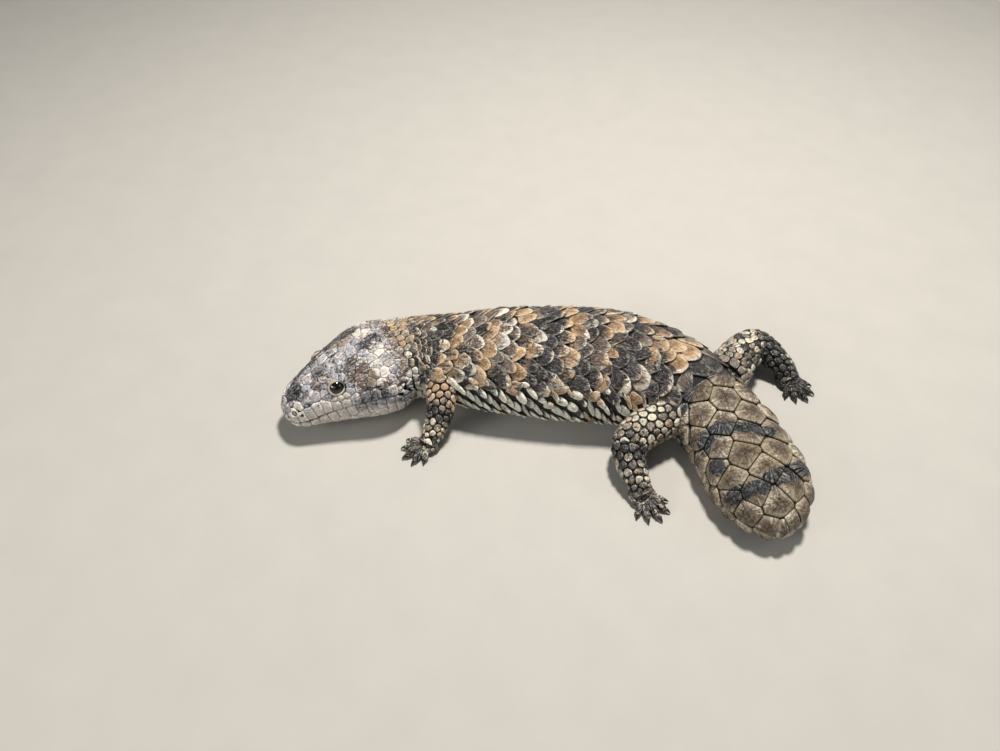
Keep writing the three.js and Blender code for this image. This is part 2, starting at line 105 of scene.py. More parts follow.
def section_point(sizes, raised, degrees, top, foot):
    """Across and up in a cross section, at an angle from its top, raised off it by some height. Top
    and foot say how square its upper and lower halves are, where 2 is round."""
    half, low, level, high = sizes
    angle = np.radians(degrees)
    sine, cosine = np.sin(angle), np.cos(angle)
    exponent = np.where(cosine > 0, 2 / top, 2 / foot)
    reach = np.where(cosine > 0, high - level, level - low) + raised
    return (half + raised) * power(sine, exponent), level + reach * power(cosine, exponent)


def share_up(points, low, level, high, least=0):
    """Height over the widest line, as a share of the way to the top or down to the belly."""
    up = points[:, 2] - level
    return up / np.where(up > 0, np.maximum(high - level, least), np.maximum(level - low, least))


# %% The trunk: neck, torso and tail on one curved spine
TRUNK_SQUARE, HEAD_SQUARE = (2.1, 2.5), (2.5, 2.3)  # top and foot of the cross sections
NAPE = np.array([-91, 5.5])
HEAD_HEADING = math.radians(210)
head_ahead = np.array([math.cos(HEAD_HEADING), math.sin(HEAD_HEADING)])
NECK_LENGTH, TORSO_LENGTH, TAIL_ROUND = 27, 142, 27

# Where the spine passes, half width, and the levels of belly, widest line and back.
TRUNK = [
    (-91, 5.5, 25, 4, 17, 40),
    (-78, 7.5, 25, 3.5, 18, 40),
    (-60, 6, 27.5, 2.5, 19, 42),
    (-34, 5, 32, 1, 19, 44.5),
    (0, 3, 34.7, -1, 19, 46),
    (34, -0.5, 34.3, -1.5, 18.5, 45.5),
    (64, -11, 29, -1.5, 16, 39),
    (81.5, -31, 24, -0.5, 14, 32),
    (91, -53, 24.8, -1, 13, 30),
    (96.5, -75, 24.4, -1.5, 12.5, 28),
    (99.6, -101, 19.1, -1, 11.5, 25),
]
spine = curve_through([NAPE + 20 * head_ahead, *[row[:2] for row in TRUNK]], even=False)
numbers = np.linspace(0, len(TRUNK), 6001)
steps = np.linalg.norm(np.diff(spine(numbers), axis=0), axis=1)
run = np.concatenate([[0], np.cumsum(steps)])
run -= np.interp(1, numbers, run)
TRUNK_LENGTH = run[-1]
trunk_distance = np.linspace(0, TRUNK_LENGTH, 1501)
trunk_number = np.interp(trunk_distance, run, numbers)
trunk_origin = spine(trunk_number)
trunk_sizes = curve_through([row[2:] for row in TRUNK])(trunk_number - 1)
tangent = np.gradient(trunk_origin, axis=0)
tangent /= np.linalg.norm(tangent, axis=1, keepdims=True)
turned = np.clip(trunk_distance / NECK_LENGTH, 0, 1)[:, None]
tangent = tangent * turned - head_ahead * (1 - turned)
tangent /= np.linalg.norm(tangent, axis=1, keepdims=True)
trunk_across = np.column_stack([-tangent[:, 1], tangent[:, 0]])
beyond = np.clip((trunk_distance - (TRUNK_LENGTH - TAIL_ROUND)) / TAIL_ROUND, 0, 1)
trunk_shrink = np.sqrt(1 - beyond**2)
print(f"spine from the nape to the tail's tip: {TRUNK_LENGTH:.1f} mm")


def trunk_at(distance):
    """Origin, direction across, the four sizes and the shrink of the trunk at distances."""
    def read(column):
        return np.interp(distance, trunk_distance, column)

    half, belly, level, back = (read(trunk_sizes[:, k]) for k in range(4))
    shrink = read(trunk_shrink)
    sizes = (half * shrink, level - (level - belly) * shrink, level, level + (back - level) * shrink)
    origin = np.stack([read(trunk_origin[:, 0]), read(trunk_origin[:, 1])], -1)
    across = np.stack([read(trunk_across[:, 0]), read(trunk_across[:, 1])], -1)
    return origin, across, sizes, shrink


def trunk_point(distance, degrees, raised=0.0):
    """A point on the trunk. Degrees run from the top, and grow towards the animal's right side."""
    distance, degrees, raised = np.broadcast_arrays(distance, degrees, raised)
    origin, across, sizes, shrink = trunk_at(distance)
    out, up = section_point(sizes, raised * shrink, degrees, *TRUNK_SQUARE)
    plan = origin + across * out[..., None]
    return np.concatenate([plan, np.maximum(up, 0)[..., None]], -1)


# %% The head, from the nape to the snout
HEAD_LENGTH, SNOUT_ROUND = 67, 9
# Forward from the nape, half width, and the levels of chin, mouth line and crown.
HEAD = [
    (0, 25, 4, 17, 40),
    (10, 28.5, 4, 16.5, 40.5),
    (21, 27, 4.5, 16, 39.5),
    (34, 21.5, 5.5, 14.5, 37),
    (46, 17, 6.5, 13.5, 32.5),
    (57, 13.3, 7.5, 12.5, 26.5),
    (67, 10.3, 8, 12, 21),
]
head_sizes = curve_through(HEAD)(np.linspace(0, len(HEAD) - 1, 1201))
head_left = np.array([-head_ahead[1], head_ahead[0]])
GAP = 0.3


def head_at(forward):
    ahead = head_sizes[:, 0]
    half, chin, level, crown = (np.interp(forward, ahead, head_sizes[:, k]) for k in range(1, 5))
    beyond = np.clip((forward - (HEAD_LENGTH - SNOUT_ROUND)) / SNOUT_ROUND, 0, 1)
    shrink = np.sqrt(1 - beyond**2.2)
    return (half * shrink, level - (level - chin) * shrink, level, level + (crown - level) * shrink), shrink


def from_head(places):
    """Points given forward, to the animal's left and up from the nape, in the body's own frame."""
    places = np.asarray(places, float)
    plan = NAPE + (places[..., :1] + GAP / 2) * head_ahead + places[..., 1:2] * head_left
    return np.concatenate([plan, places[..., 2:]], -1)


def head_point(forward, degrees, raised=0.0):
    """A point on the head. Degrees run from the crown, and grow towards the animal's left side."""
    forward, degrees, raised = np.broadcast_arrays(np.asarray(forward, float), degrees, raised)
    sizes, shrink = head_at(forward)
    out, up = section_point(sizes, raised * shrink, degrees, *HEAD_SQUARE)
    return from_head(np.stack([forward, out, up], -1))


EYE_RADIUS, EYE_FORWARD, EYE_LEVEL, EYE_SUNK = 4.6, 38.5, 30, 3.9


def eye_centre(side):
    """Centre of an eye in the head's frame: side is 1 on the left and -1 on the right."""
    (half, _, level, high), _ = head_at(EYE_FORWARD)
    rise, square = (EYE_LEVEL - level) / (high - level), HEAD_SQUARE[0]
    surface = half * (1 - rise**square) ** (1 / square)
    return np.array([EYE_FORWARD, side * (surface - EYE_SUNK), EYE_LEVEL])


# %% Where the body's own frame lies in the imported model
low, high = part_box("eye_left")
own_origin = 1000 * (np.array(low) + np.array(high)) / 2 - from_head(eye_centre(1))
own_origin[2] = 0


def metres(points):
    """Points of the body's own frame in millimetres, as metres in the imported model's frame."""
    return (np.asarray(points, float) + own_origin) / 1000


print("the body's own frame starts at", np.round(own_origin, 2), "mm")
low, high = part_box("tail")
tip = metres(trunk_point(TRUNK_LENGTH, 0))
print("the tail's tip is", np.round(1000 * (tip[1] - low.y), 2), "mm from the solid's")

# %% [markdown]
# ## The camera
# The picture was taken from above the animal's left side, so the camera looks down at 48 degrees.

# %% Camera
LENS, PITCH = 27.04, math.radians(42)  # the pitch is from straight down
camera_data = bpy.data.cameras.new("camera")
camera = bpy.data.objects.new("camera", camera_data)
bpy.context.scene.collection.objects.link(camera)
camera_data.sensor_width, camera_data.lens = 36, LENS
camera_data.clip_start, camera_data.clip_end = 0.01, 50
camera.location = metres([-33.0, -282.7, 326.2])
camera.rotation_euler = (PITCH, 0, 0)
bpy.context.scene.camera = camera
print("camera", [round(value, 3) for value in camera.location])

# %% [markdown]
# ## Legs and feet
# A leg is a bent cone of flesh: a curve through its joints, with a radius at each. A foot is a flat
# round palm with five toes spread like a fan, each ending in a small claw.

# %% Legs and toes as functions
# A leg's joints from its root to its foot, and the radius at each. A foot points at its heading, in
# degrees from the X axis. Toe is the length of its middle toe, and palm its radius.
LEGS = {
    "front_left": {
        "joints": [(-65, -9, 24), (-64.5, -27, 17), (-68.5, -36.5, 8), (-71, -40.5, 4)],
        "radii": [9.5, 7.4, 5.6, 4.8], "heading": 212, "toe": 8, "palm": 6.2,
    },
    "front_right": {
        "joints": [(-60, 20, 24), (-50, 36, 17), (-55, 43, 8), (-58, 46, 4)],
        "radii": [9.5, 7.4, 5.6, 4.8], "heading": 160, "toe": 8, "palm": 6.2,
    },
    "hind_left": {
        "joints": [(60, -28, 17), (34, -50, 14), (37, -69, 7), (39, -73, 4.2)],
        "radii": [12, 9, 6, 5.2], "heading": 300, "toe": 8, "palm": 7,
    },
    "hind_right": {
        "joints": [(88, -8, 17), (115, 21, 14), (130, 10, 8), (133, 5, 4.2)],
        "radii": [13, 9.5, 6, 5.2], "heading": 298, "toe": 8, "palm": 7,
    },
}
TOE_SHARES = (0.7, 0.95, 1.1, 1.0, 0.65)
PALM_LEVEL = 2.8  # height of a palm's middle over the ground


def tube_point(joints, radii, share, degrees, raised=0.0):
    """A point on a bent round tube, at a share of its length and an angle from its top."""
    share, degrees, raised = np.broadcast_arrays(np.asarray(share, float), degrees, raised)
    path = curve_through(joints, even=False)
    last = len(joints) - 1
    along = path(np.clip(share + 1e-3, 0, 1) * last) - path(np.clip(share - 1e-3, 0, 1) * last)
    along /= np.linalg.norm(along, axis=-1, keepdims=True)
    out = np.cross(along, [0, 0, 1])
    out /= np.linalg.norm(out, axis=-1, keepdims=True)
    over = np.cross(out, along)
    radius = (radius_at(radii, share * last) + raised)[..., None]
    angle = np.radians(degrees)[..., None]
    return path(share * last) + radius * (out * np.sin(angle) + over * np.cos(angle))


def leg_point(leg, share, degrees, raised=0.0):
    return tube_point(LEGS[leg]["joints"], LEGS[leg]["radii"], share, degrees, raised)


def toe_path(leg, toe):
    """Joints and radii of a toe, and the plan direction that it points in."""
    foot = LEGS[leg]
    heading = math.radians(foot["heading"] + 96 * (toe / 4 - 0.5))
    ahead = np.array([math.cos(heading), math.sin(heading)])
    tip = foot["palm"] * 0.75 + foot["toe"] * TOE_SHARES[toe]
    start = foot["palm"] * 0.55
    reaches = [(start, 3), ((start + tip) / 2, 3.3), (tip - 0.5, 1.8), (tip + 0.4, 1.6)]
    middle = np.array(foot["joints"][-1][:2])
    joints = [(*(middle + ahead * reach), level) for reach, level in reaches]
    return joints, [1.95, 1.8, 1.6, 1.3], ahead


# %% [markdown]
# ## One skin under everything
# Scales are horn, and they grow on a soft dark skin that shows only in the seams between them. The
# skin could be one mesh per limb, but then a seam would show where a leg joins the body. So each
# part is first wrapped from a flat grid, and a voxel remesh then melts them all into one closed
# surface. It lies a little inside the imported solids, by about the thickness of the scales.

# %% Wrap a grid round a part of the body
def wrapped(skin, along, around, point):
    """Adds a grid to the skin, rolled into a closed shape by point(along 0..1, degrees)."""
    made = bmesh.ops.create_grid(skin, x_segments=along, y_segments=around, size=1)["verts"]
    flat = np.array([vertex.co[:2] for vertex in made])
    flat = (flat - flat.min(0)) / (flat.max(0) - flat.min(0))
    for vertex, place in zip(made, metres(point(flat[:, 0], 360 * flat[:, 1] - 180))):
        vertex.co = place
    bmesh.ops.remove_doubles(skin, verts=made, dist=2e-6)


def closed_ends(share, start, end):
    """0 at both ends of a part and 1 between them, so that its ends draw in to a point."""
    return np.clip(np.minimum(share / start, (1 - share) / end), 0, 1)


def towards(middle, point, share):
    return middle + (point - middle) * share[:, None]


SKIN_DEPTH = {"trunk": 1.2, "head": 0.9, "leg": 0.8}  # under the solids' surface
SKIN_VOXEL = 0.00098  # metres


def trunk_skin(share, degrees):
    distance = share * (TRUNK_LENGTH - 0.6)
    middle = trunk_point(distance, 90, -60)
    middle[:, :2] = trunk_at(distance)[0]
    middle[:, 2] = 15
    point = trunk_point(distance, degrees, -SKIN_DEPTH["trunk"])
    point[:, 2] = np.maximum(point[:, 2], 0.7)
    return towards(middle, point, closed_ends(share, 0.006, 0.001))


def head_skin(share, degrees):
    forward = -4 + share * (HEAD_LENGTH + 3.6)
    middle = from_head(np.stack([forward, 0 * forward, 0 * forward + 14], -1))
    point = head_point(forward, degrees, -SKIN_DEPTH["head"])
    return towards(middle, point, closed_ends(share, 0.03, 0.003))


skin_mesh = bmesh.new()
wrapped(skin_mesh, 220, 120, trunk_skin)
wrapped(skin_mesh, 90, 96, head_skin)
for leg, foot in LEGS.items():
    def leg_skin(share, degrees, leg=leg, radii=foot["radii"]):
        centre = leg_point(leg, share, 0, -radius_at(radii, share * 3))
        point = leg_point(leg, share, degrees, -SKIN_DEPTH["leg"])
        return towards(centre, point, closed_ends(share, 0.02, 0.02))

    wrapped(skin_mesh, 40, 28, leg_skin)
    palm = bmesh.ops.create_uvsphere(skin_mesh, u_segments=20, v_segments=12, radius=foot["palm"] / 1000)
    bmesh.ops.scale(skin_mesh, vec=(0.92, 0.92, 0.55), verts=palm["verts"])
    bmesh.ops.translate(skin_mesh, vec=metres([*foot["joints"][-1][:2], PALM_LEVEL]), verts=palm["verts"])
    for toe in range(5):
        joints, radii, _ = toe_path(leg, toe)

        def toe_skin(share, degrees, joints=joints, radii=radii):
            point = tube_point(joints, radii, share, degrees, -0.4)
            centre = tube_point(joints, [0.001] * 4, share, degrees)
            return towards(centre, point, closed_ends(share, 0.05, 0.05))

        wrapped(skin_mesh, 12, 12, toe_skin)
bmesh.ops.recalc_face_normals(skin_mesh, faces=skin_mesh.faces)
print("skin before the remesh:", len(skin_mesh.faces), "faces")


# %% Melt the parts into one surface
def new_object(name, mesh):
    made = bpy.data.objects.new(name, mesh)
    bpy.context.scene.collection.objects.link(made)
    return made


mesh = bpy.data.meshes.new("skin")
skin_mesh.to_mesh(mesh)
skin_mesh.free()
skin = new_object("skin", mesh)
remesh = skin.modifiers.new("melt", "REMESH")
remesh.mode, remesh.voxel_size, remesh.use_smooth_shade = "VOXEL", SKIN_VOXEL, True
melted = bpy.data.meshes.new_from_object(skin.evaluated_get(bpy.context.evaluated_depsgraph_get()))
skin.modifiers.clear()
skin.data = melted
skin_surface = bmesh.new()
skin_surface.from_mesh(melted)
for _ in range(2):
    bmesh.ops.smooth_vert(
        skin_surface, verts=skin_surface.verts, factor=0.5, use_axis_x=True, use_axis_y=True, use_axis_z=True
    )
for vertex in skin_surface.verts:
    vertex.co.z = max(vertex.co.z, 0.0004)
print("skin:", len(skin_surface.faces), "faces,", len(skin_surface.verts), "vertices")

# %% [markdown]
# ## Where a point lies on the body
# The paint and the flat map both ask the same question of a point: which part is it on, how far along,
# and how far round? For the skin this is answered by going back from the point to the nearest cross
# section. The answer also gives every part its own rectangle of one flat map, like the pieces of a
# cut pattern laid on a table, which is the unwrap kept in the OFBake map.

# %% Back from a point to along and round
AT_ONCE = 8000  # points looked up at a time, to spare memory


def on_trunk(points):
    coarse = np.arange(0, len(trunk_distance), 3)
    nearest = np.empty(len(points), int)
    for start in range(0, len(points), AT_ONCE):
        plan = points[start : start + AT_ONCE, None, :2] - trunk_origin[None, coarse]
        nearest[start : start + AT_ONCE] = coarse[np.argmin((plan**2).sum(-1), 1)]
    distance = trunk_distance[nearest]
    origin, across, (half, low, level, high), _ = trunk_at(distance)
    out = ((points[:, :2] - origin) * across).sum(-1) / np.maximum(half, 1)
    return distance, np.degrees(np.arctan2(out, share_up(points, low, level, high, 1)))


def on_head(points):
    plan = points[:, :2] - NAPE
    forward, left = plan @ head_ahead, plan @ head_left
    (half, low, level, high), _ = head_at(np.clip(forward, 0, HEAD_LENGTH - 0.5))
    return forward, np.degrees(np.arctan2(left / half, share_up(points, low, level, high)))


def on_leg(leg, points):
    shares = np.linspace(0, 1, 61)
    path = curve_through(LEGS[leg]["joints"], even=False)(shares * 3)
    nearest = np.argmin(((points[:, None] - path[None]) ** 2).sum(-1), 1)
    along = np.gradient(path, axis=0)[nearest]
    along /= np.linalg.norm(along, axis=1, keepdims=True)
    out = np.cross(along, [0, 0, 1])
    out /= np.linalg.norm(out, axis=1, keepdims=True)
    off = points - path[nearest]
    over = np.cross(out, along)
    return shares[nearest], np.degrees(np.arctan2((off * out).sum(-1), (off * over).sum(-1)))


def on_foot(leg, points):
    """On a foot, along and round are its plan, seen from above or from below."""
    foot = LEGS[leg]
    heading = math.radians(foot["heading"])
    ahead = np.array([math.cos(heading), math.sin(heading)])
    plan = points[:, :2] - np.array(foot["joints"][-1][:2])
    side = plan @ np.array([-ahead[1], ahead[0]])
    return plan @ ahead, side


# %% The flat map: a rectangle for each part
MAP = {"trunk": (0.01, 0.42, 0.98, 0.57, 0, TRUNK_LENGTH), "head": (0.01, 0.01, 0.24, 0.39, -6, 68)}
for number, leg in enumerate(LEGS):
    MAP[leg + "_leg"] = (0.27 + 0.12 * number, 0.01, 0.11, 0.39, 0, 1)
    MAP[leg + "_top"] = (0.76, 0.01 + 0.1 * number, 0.1, 0.09, -8, 22)
    MAP[leg + "_sole"] = (0.88, 0.01 + 0.1 * number, 0.1, 0.09, -8, 22)


def map_place(part, along, around):
    """Where along and round (degrees, or millimetres across on a foot) fall on the flat map."""
    left, foot, wide, tall, start, end = MAP[part]
    reach = 18 if part.endswith(("_top", "_sole")) else 180
    share = (np.asarray(around, float) + reach) / (2 * reach)
    u = left + wide * np.clip((np.asarray(along, float) - start) / (end - start), 0, 1)
    return np.stack([u, foot + tall * np.clip(share, -0.05, 1.05)], -1)


# %% [markdown]
# ## The markings
# The back of a shingleback is a patchwork of orange-tan bands and charcoal ones that lean forward as
# they come down the sides, the flanks are beaded with pale scales, and the khaki tail carries a few
# blue-black blotches. A painter would mark these places on the bare body first, so the markings are
# one function of a place on the body, and the skin and all the scales ask it the same question.

# %% Bands, strokes and spots
LEAN = 0.11  # millimetres that a band runs forward for each degree down the side
# Each band's place from the nape, half width and strength, and strokes of (from the nape, degrees).
WARM_BANDS = ((37, 4.5, 0.8), (56, 4.5, 0.75), (74, 5, 1), (98, 5.5, 1), (120, 5.5, 1), (143, 5, 1))
DARK_BANDS = (
    (12, 4, 0.6), (28, 5, 1), (47, 4, 0.6), (65, 3.5, 0.6),
    (87, 5.5, 1.2), (109, 5, 0.6), (131, 5, 1), (155, 7, 1.2),
)
TAIL_STROKES = (
    [(207, -60), (201, -42), (204, -12), (211, 16)],
    [(230, 52), (235, 8), (239, -20), (239, -62)],
    [(219, -56), (222, -54)],
    [(176, -52), (171, -20), (170, 10), (176, 40)],
    [(190, 62), (199, 84), (196, 120)],
    [(214, 100), (222, 92), (226, 122)],
    [(186, -96), (192, -122)],
)


def near_stroke(x, y, stroke):
    """Distance to a broken line."""
    nearest = np.full(np.shape(x), 1e9)
    for (x0, y0), (x1, y1) in zip(stroke, stroke[1:]):
        length = (x1 - x0) ** 2 + (y1 - y0) ** 2
        share = np.clip(((x - x0) * (x1 - x0) + (y - y0) * (y1 - y0)) / length, 0, 1)
        nearest = np.minimum(nearest, np.hypot(x - x0 - share * (x1 - x0), y - y0 - share * (y1 - y0)))
    return nearest


def bands(place, rows):
    """Soft bands across the body: rows of (place, half width, strength)."""
    return sum(strength * np.exp(-(((place - middle) / size) ** 2)) for middle, size, strength in rows)


def spot(x, y, middle, size):
    return 1 - smoothstep(0.6, 1.2, np.hypot((x - middle[0]) / size[0], (y - middle[1]) / size[1]))


def trunk_marks(distance, degrees):
    """Dark, warm and pale at a place on the trunk."""
    side = np.abs(degrees)
    lean = distance + LEAN * side
    body = 1 - smoothstep(163, 177, distance)
    warm, dark = bands(lean, WARM_BANDS), bands(lean, DARK_BANDS)
    back = 1 - smoothstep(48, 84, side)
    warm = warm * body * (1 - 0.65 * smoothstep(62, 84, side))
    dark = dark * body * (0.25 + 0.75 * back)
    pale = body * (0.14 + 0.9 * smoothstep(50, 70, side)) * (1 - 0.65 * np.clip(warm, 0, 1))
    hip = spot(distance, degrees, (154, 16), (9, 36))
    warm, dark = warm + 1.0 * hip, dark * (1 - 0.8 * hip)
    pale = pale + 0.4 * hip
    nape = 1 - smoothstep(10, 28, distance)
    pale = pale + 0.5 * nape * smoothstep(25, 50, side)
    warm = warm + 0.4 * nape * (1 - smoothstep(40, 75, side))
    tail = smoothstep(164, 174, distance)
    for stroke in TAIL_STROKES:
        scaled = [(x, 0.36 * y) for x, y in stroke]
        dark = dark + tail * 1.1 * (1 - smoothstep(2.4, 5.2, near_stroke(distance, 0.36 * degrees, scaled)))
    dark = dark + tail * 0.2 * np.exp(-(((distance - 171) / 7) ** 2))
    dark = dark + 0.8 * spot(distance, degrees, (171, 48), (7, 26))
    pale = pale + tail * (0.25 + 0.35 * smoothstep(70, 120, side))
    return np.stack([dark, warm, pale], -1)


MOUTH_FORWARD = [0, 8, 16, 25, 34, 42, 49, 56, 62, 67]
MOUTH_DEGREES = [80, 77, 75, 74.5, 76, 78, 81, 86, 89, 90]


def lip_line(forward):
    """Degrees from the crown at which the mouth's line runs."""
    return np.interp(forward, MOUTH_FORWARD, MOUTH_DEGREES)


def head_marks(forward, degrees):
    side = np.abs(degrees)
    lips = smoothstep(30, 40, forward) * smoothstep(-26, -21, side - lip_line(forward) * 0.98)
    jaw = smoothstep(2, 10, side - lip_line(forward))
    dark = 0.9 * spot(forward, side, (59, 6), (5, 16)) + 0.5 * spot(forward, side, (56, 24), (4, 8))
    # Painted shade: a dark patch along the right edge of the crown, on that side only.
    dark = dark + 0.7 * spot(forward, degrees, (36, -38), (24, 14))
    dark = dark + 0.35 * spot(forward, side, (24, 62), (9, 12))
    dark = dark + 0.45 * spot(forward, degrees, (44, 4), (5, 10)) + 0.4 * spot(forward, side, (14, 4), (8, 7))
    warm = 0.6 * spot(forward, side, (26, 30), (8, 22)) + 0.35 * spot(forward, side, (22, 50), (9, 9))
    warm = warm + 0.4 * spot(forward, side, (46, 22), (6, 12)) + 0.35 * spot(forward, side, (12, 56), (7, 10))
    warm = warm + 0.45 * (1 - smoothstep(4, 11, forward)) * (1 - smoothstep(45, 62, side)) + 0.14
    # Painted highlight: the 0.4 patch on the back of the crown. The lips and the jaw are the head's own pale.
    pale = np.maximum(lips, 0.75 * jaw) + 0.4 * spot(forward, side, (13, 24), (8, 20))
    pale = pale + 0.95 * spot(forward, side, (9, 68), (4.5, 7))
    pale = pale + 0.95 * spot(forward, side, (1, 59), (3.5, 6))
    pale = pale + 0.3 * spot(forward, side, (50, 34), (6, 12)) + 0.6 * spot(forward, side, (61, 46), (4, 14))
    # Painted highlight: the pale patches high on the cheeks, at 52 degrees.
    pale = pale + 0.5 * spot(forward, side, (18, 52), (8, 16)) + 0.26
    dark = dark + 0.26
    nose = spot(forward, side, (63, 50), (3.6, 11))
    pale = pale + 0.9 * nose
    clear = np.clip(1.2 * lips + 0.6 * jaw + 1.6 * nose, 0, 1)
    # Painted shade: the nostril's opening is painted dark and less pale.
    nostril_shade = spot(forward, side, (62.5, 49.5), (0.95, 6.5))
    return np.stack([dark * (1 - clear) + 2.5 * nostril_shade, warm * (1 - clear), pale - 0.6 * nostril_shade], -1)


LEG_MARKS = {  # share of the leg's length, reach, and dark, warm, pale
    "front_left": (
        (0.2, 0.1, 0, 1, 0.3), (0.42, 0.08, 1, 0, 0.2),
        (0.62, 0.12, 0.2, 0.3, 0.8), (0.85, 0.14, 0.6, 0, 0.5),
    ),
    "front_right": (
        (0.25, 0.1, 0, 1, 0.2), (0.45, 0.1, 1, 0, 0), (0.65, 0.1, 0.2, 0.3, 0.6), (0.9, 0.14, 0.7, 0, 0.3),
    ),
    "hind_left": (
        (0.2, 0.14, 0.2, 0.3, 0.8), (0.42, 0.07, 1, 0, 0),
        (0.58, 0.09, 0.3, 0.2, 0.6), (0.85, 0.16, 0.8, 0, 0.3),
    ),
    "hind_right": (
        (0.2, 0.12, 0.4, 0.1, 0.6), (0.42, 0.12, 1.1, 0, 0), (0.6, 0.08, 0.4, 0, 0.6), (0.85, 0.2, 1.1, 0, 0),
    ),
}


def leg_marks(leg, share, degrees):
    marks = np.zeros((*np.shape(share), 3))
    for place, reach, *amounts in LEG_MARKS[leg]:
        marks += np.exp(-(((share + 0.0004 * degrees - place) / reach) ** 2))[..., None] * np.array(amounts)
    return marks


# %% [markdown]
# ## How a scale is made
# One horny scale is a thick, slightly domed plate: it leaves the skin at its front and stands free at
# its rear. It could be sculpted once and copied by Geometry Nodes, but each copy must also bend with
# the body. So a flat closed plate of a few dozen faces is made with mesh operators, and every copy is
# bent over the body by the same functions that gave the body its shape.

# %% A closed plate to copy
def flat_plate(wide, long):
    """A closed plate: x across, y from front (-1) to rear (1), z 0 on top and -1 underneath."""
    plate = bmesh.new()
    bmesh.ops.create_grid(plate, x_segments=wide, y_segments=long, size=1)
    rim = [edge for edge in plate.edges if edge.is_boundary]
    wall = bmesh.ops.extrude_edge_only(plate, edges=rim)["geom"]
    lower = [part for part in wall if isinstance(part, bmesh.types.BMVert)]
    bmesh.ops.translate(plate, vec=(0, 0, -1), verts=lower)
    bmesh.ops.contextual_create(plate, geom=[edge for edge in plate.edges if edge.is_boundary])
    bmesh.ops.recalc_face_normals(plate, faces=plate.faces)
    points = np.array([vertex.co for vertex in plate.verts])
    faces = [[vertex.index for vertex in face.verts] for face in plate.faces]
    plate.free()
    return points, faces


plain_plate = flat_plate(6, 6)
small_plate = flat_plate(4, 4)
print("faces of a shingle and of a bead:", len(plain_plate[1]), "and", len(small_plate[1]))


# %% Gather many scales in one mesh
def store(mesh, name, kind, values):
    """Gives each vertex of a mesh a colour or a vector under a name, for the paint to read."""
    field = {"FLOAT_COLOR": "color", "FLOAT_VECTOR": "vector"}[kind]
    mesh.attributes.new(name, kind, "POINT").data.foreach_set(field, np.array(values, float).ravel())


def smooth_mesh(shape, name):
    """A smooth mesh of a shape, which is then freed."""
    for face in shape.faces:
        face.smooth = True
    mesh = bpy.data.meshes.new(name)
    shape.to_mesh(mesh)
    shape.free()
    return mesh


def corners_of(mesh):
    """The vertex at each corner of each face."""
    corners = np.empty(len(mesh.loops), int)
    mesh.loops.foreach_get("vertex_index", corners)
    return corners


class Coat:
    """Small closed shapes for one mesh, with what the paint and the bake read at each vertex."""

    def __init__(self):
        self.points, self.faces, self.marks, self.grain, self.patch = [], [], [], [], []
        self.count = 0

    def add(self, points, faces, marks, grain, patch):
        """Points in metres, marks (dark, warm, pale, lot), grain (along, across, edge), map places."""
        self.faces += [[index + self.count for index in face] for face in faces]
        kept = self.points, self.marks, self.grain, self.patch
        for values, new in zip(kept, (points, marks, grain, patch)):
            values.append(new)
        self.count += len(points)

    def made(self, name, paint, level=0):
        mesh = bpy.data.meshes.new(name)
        mesh.from_pydata(np.vstack(self.points).tolist(), [], self.faces)
        store(mesh, "marks", "FLOAT_COLOR", np.clip(np.vstack(self.marks), 0, 1))
        store(mesh, "grain", "FLOAT_VECTOR", np.vstack(self.grain))
        patch = np.vstack(self.patch)
        mesh.uv_layers.new(name="OFBake").data.foreach_set("uv", patch[corners_of(mesh)].ravel())
        mesh.polygons.foreach_set("use_smooth", [True] * len(mesh.polygons))
        mesh.validate()
        shape = bmesh.new()
        shape.from_mesh(mesh)
        bmesh.ops.recalc_face_normals(shape, faces=shape.faces)
        shape.to_mesh(mesh)
        shape.free()
        mesh.materials.append(paint)
        piece = new_object(name, mesh)
        if level:
            rounding = piece.modifiers.new("rounding", "SUBSURF")
            rounding.levels = rounding.render_levels = level
        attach(piece, "root")
        print(f"{name}: {len(mesh.polygons)} faces")
        return piece


PATCH = 0.0012  # half of a scale's patch on the flat map


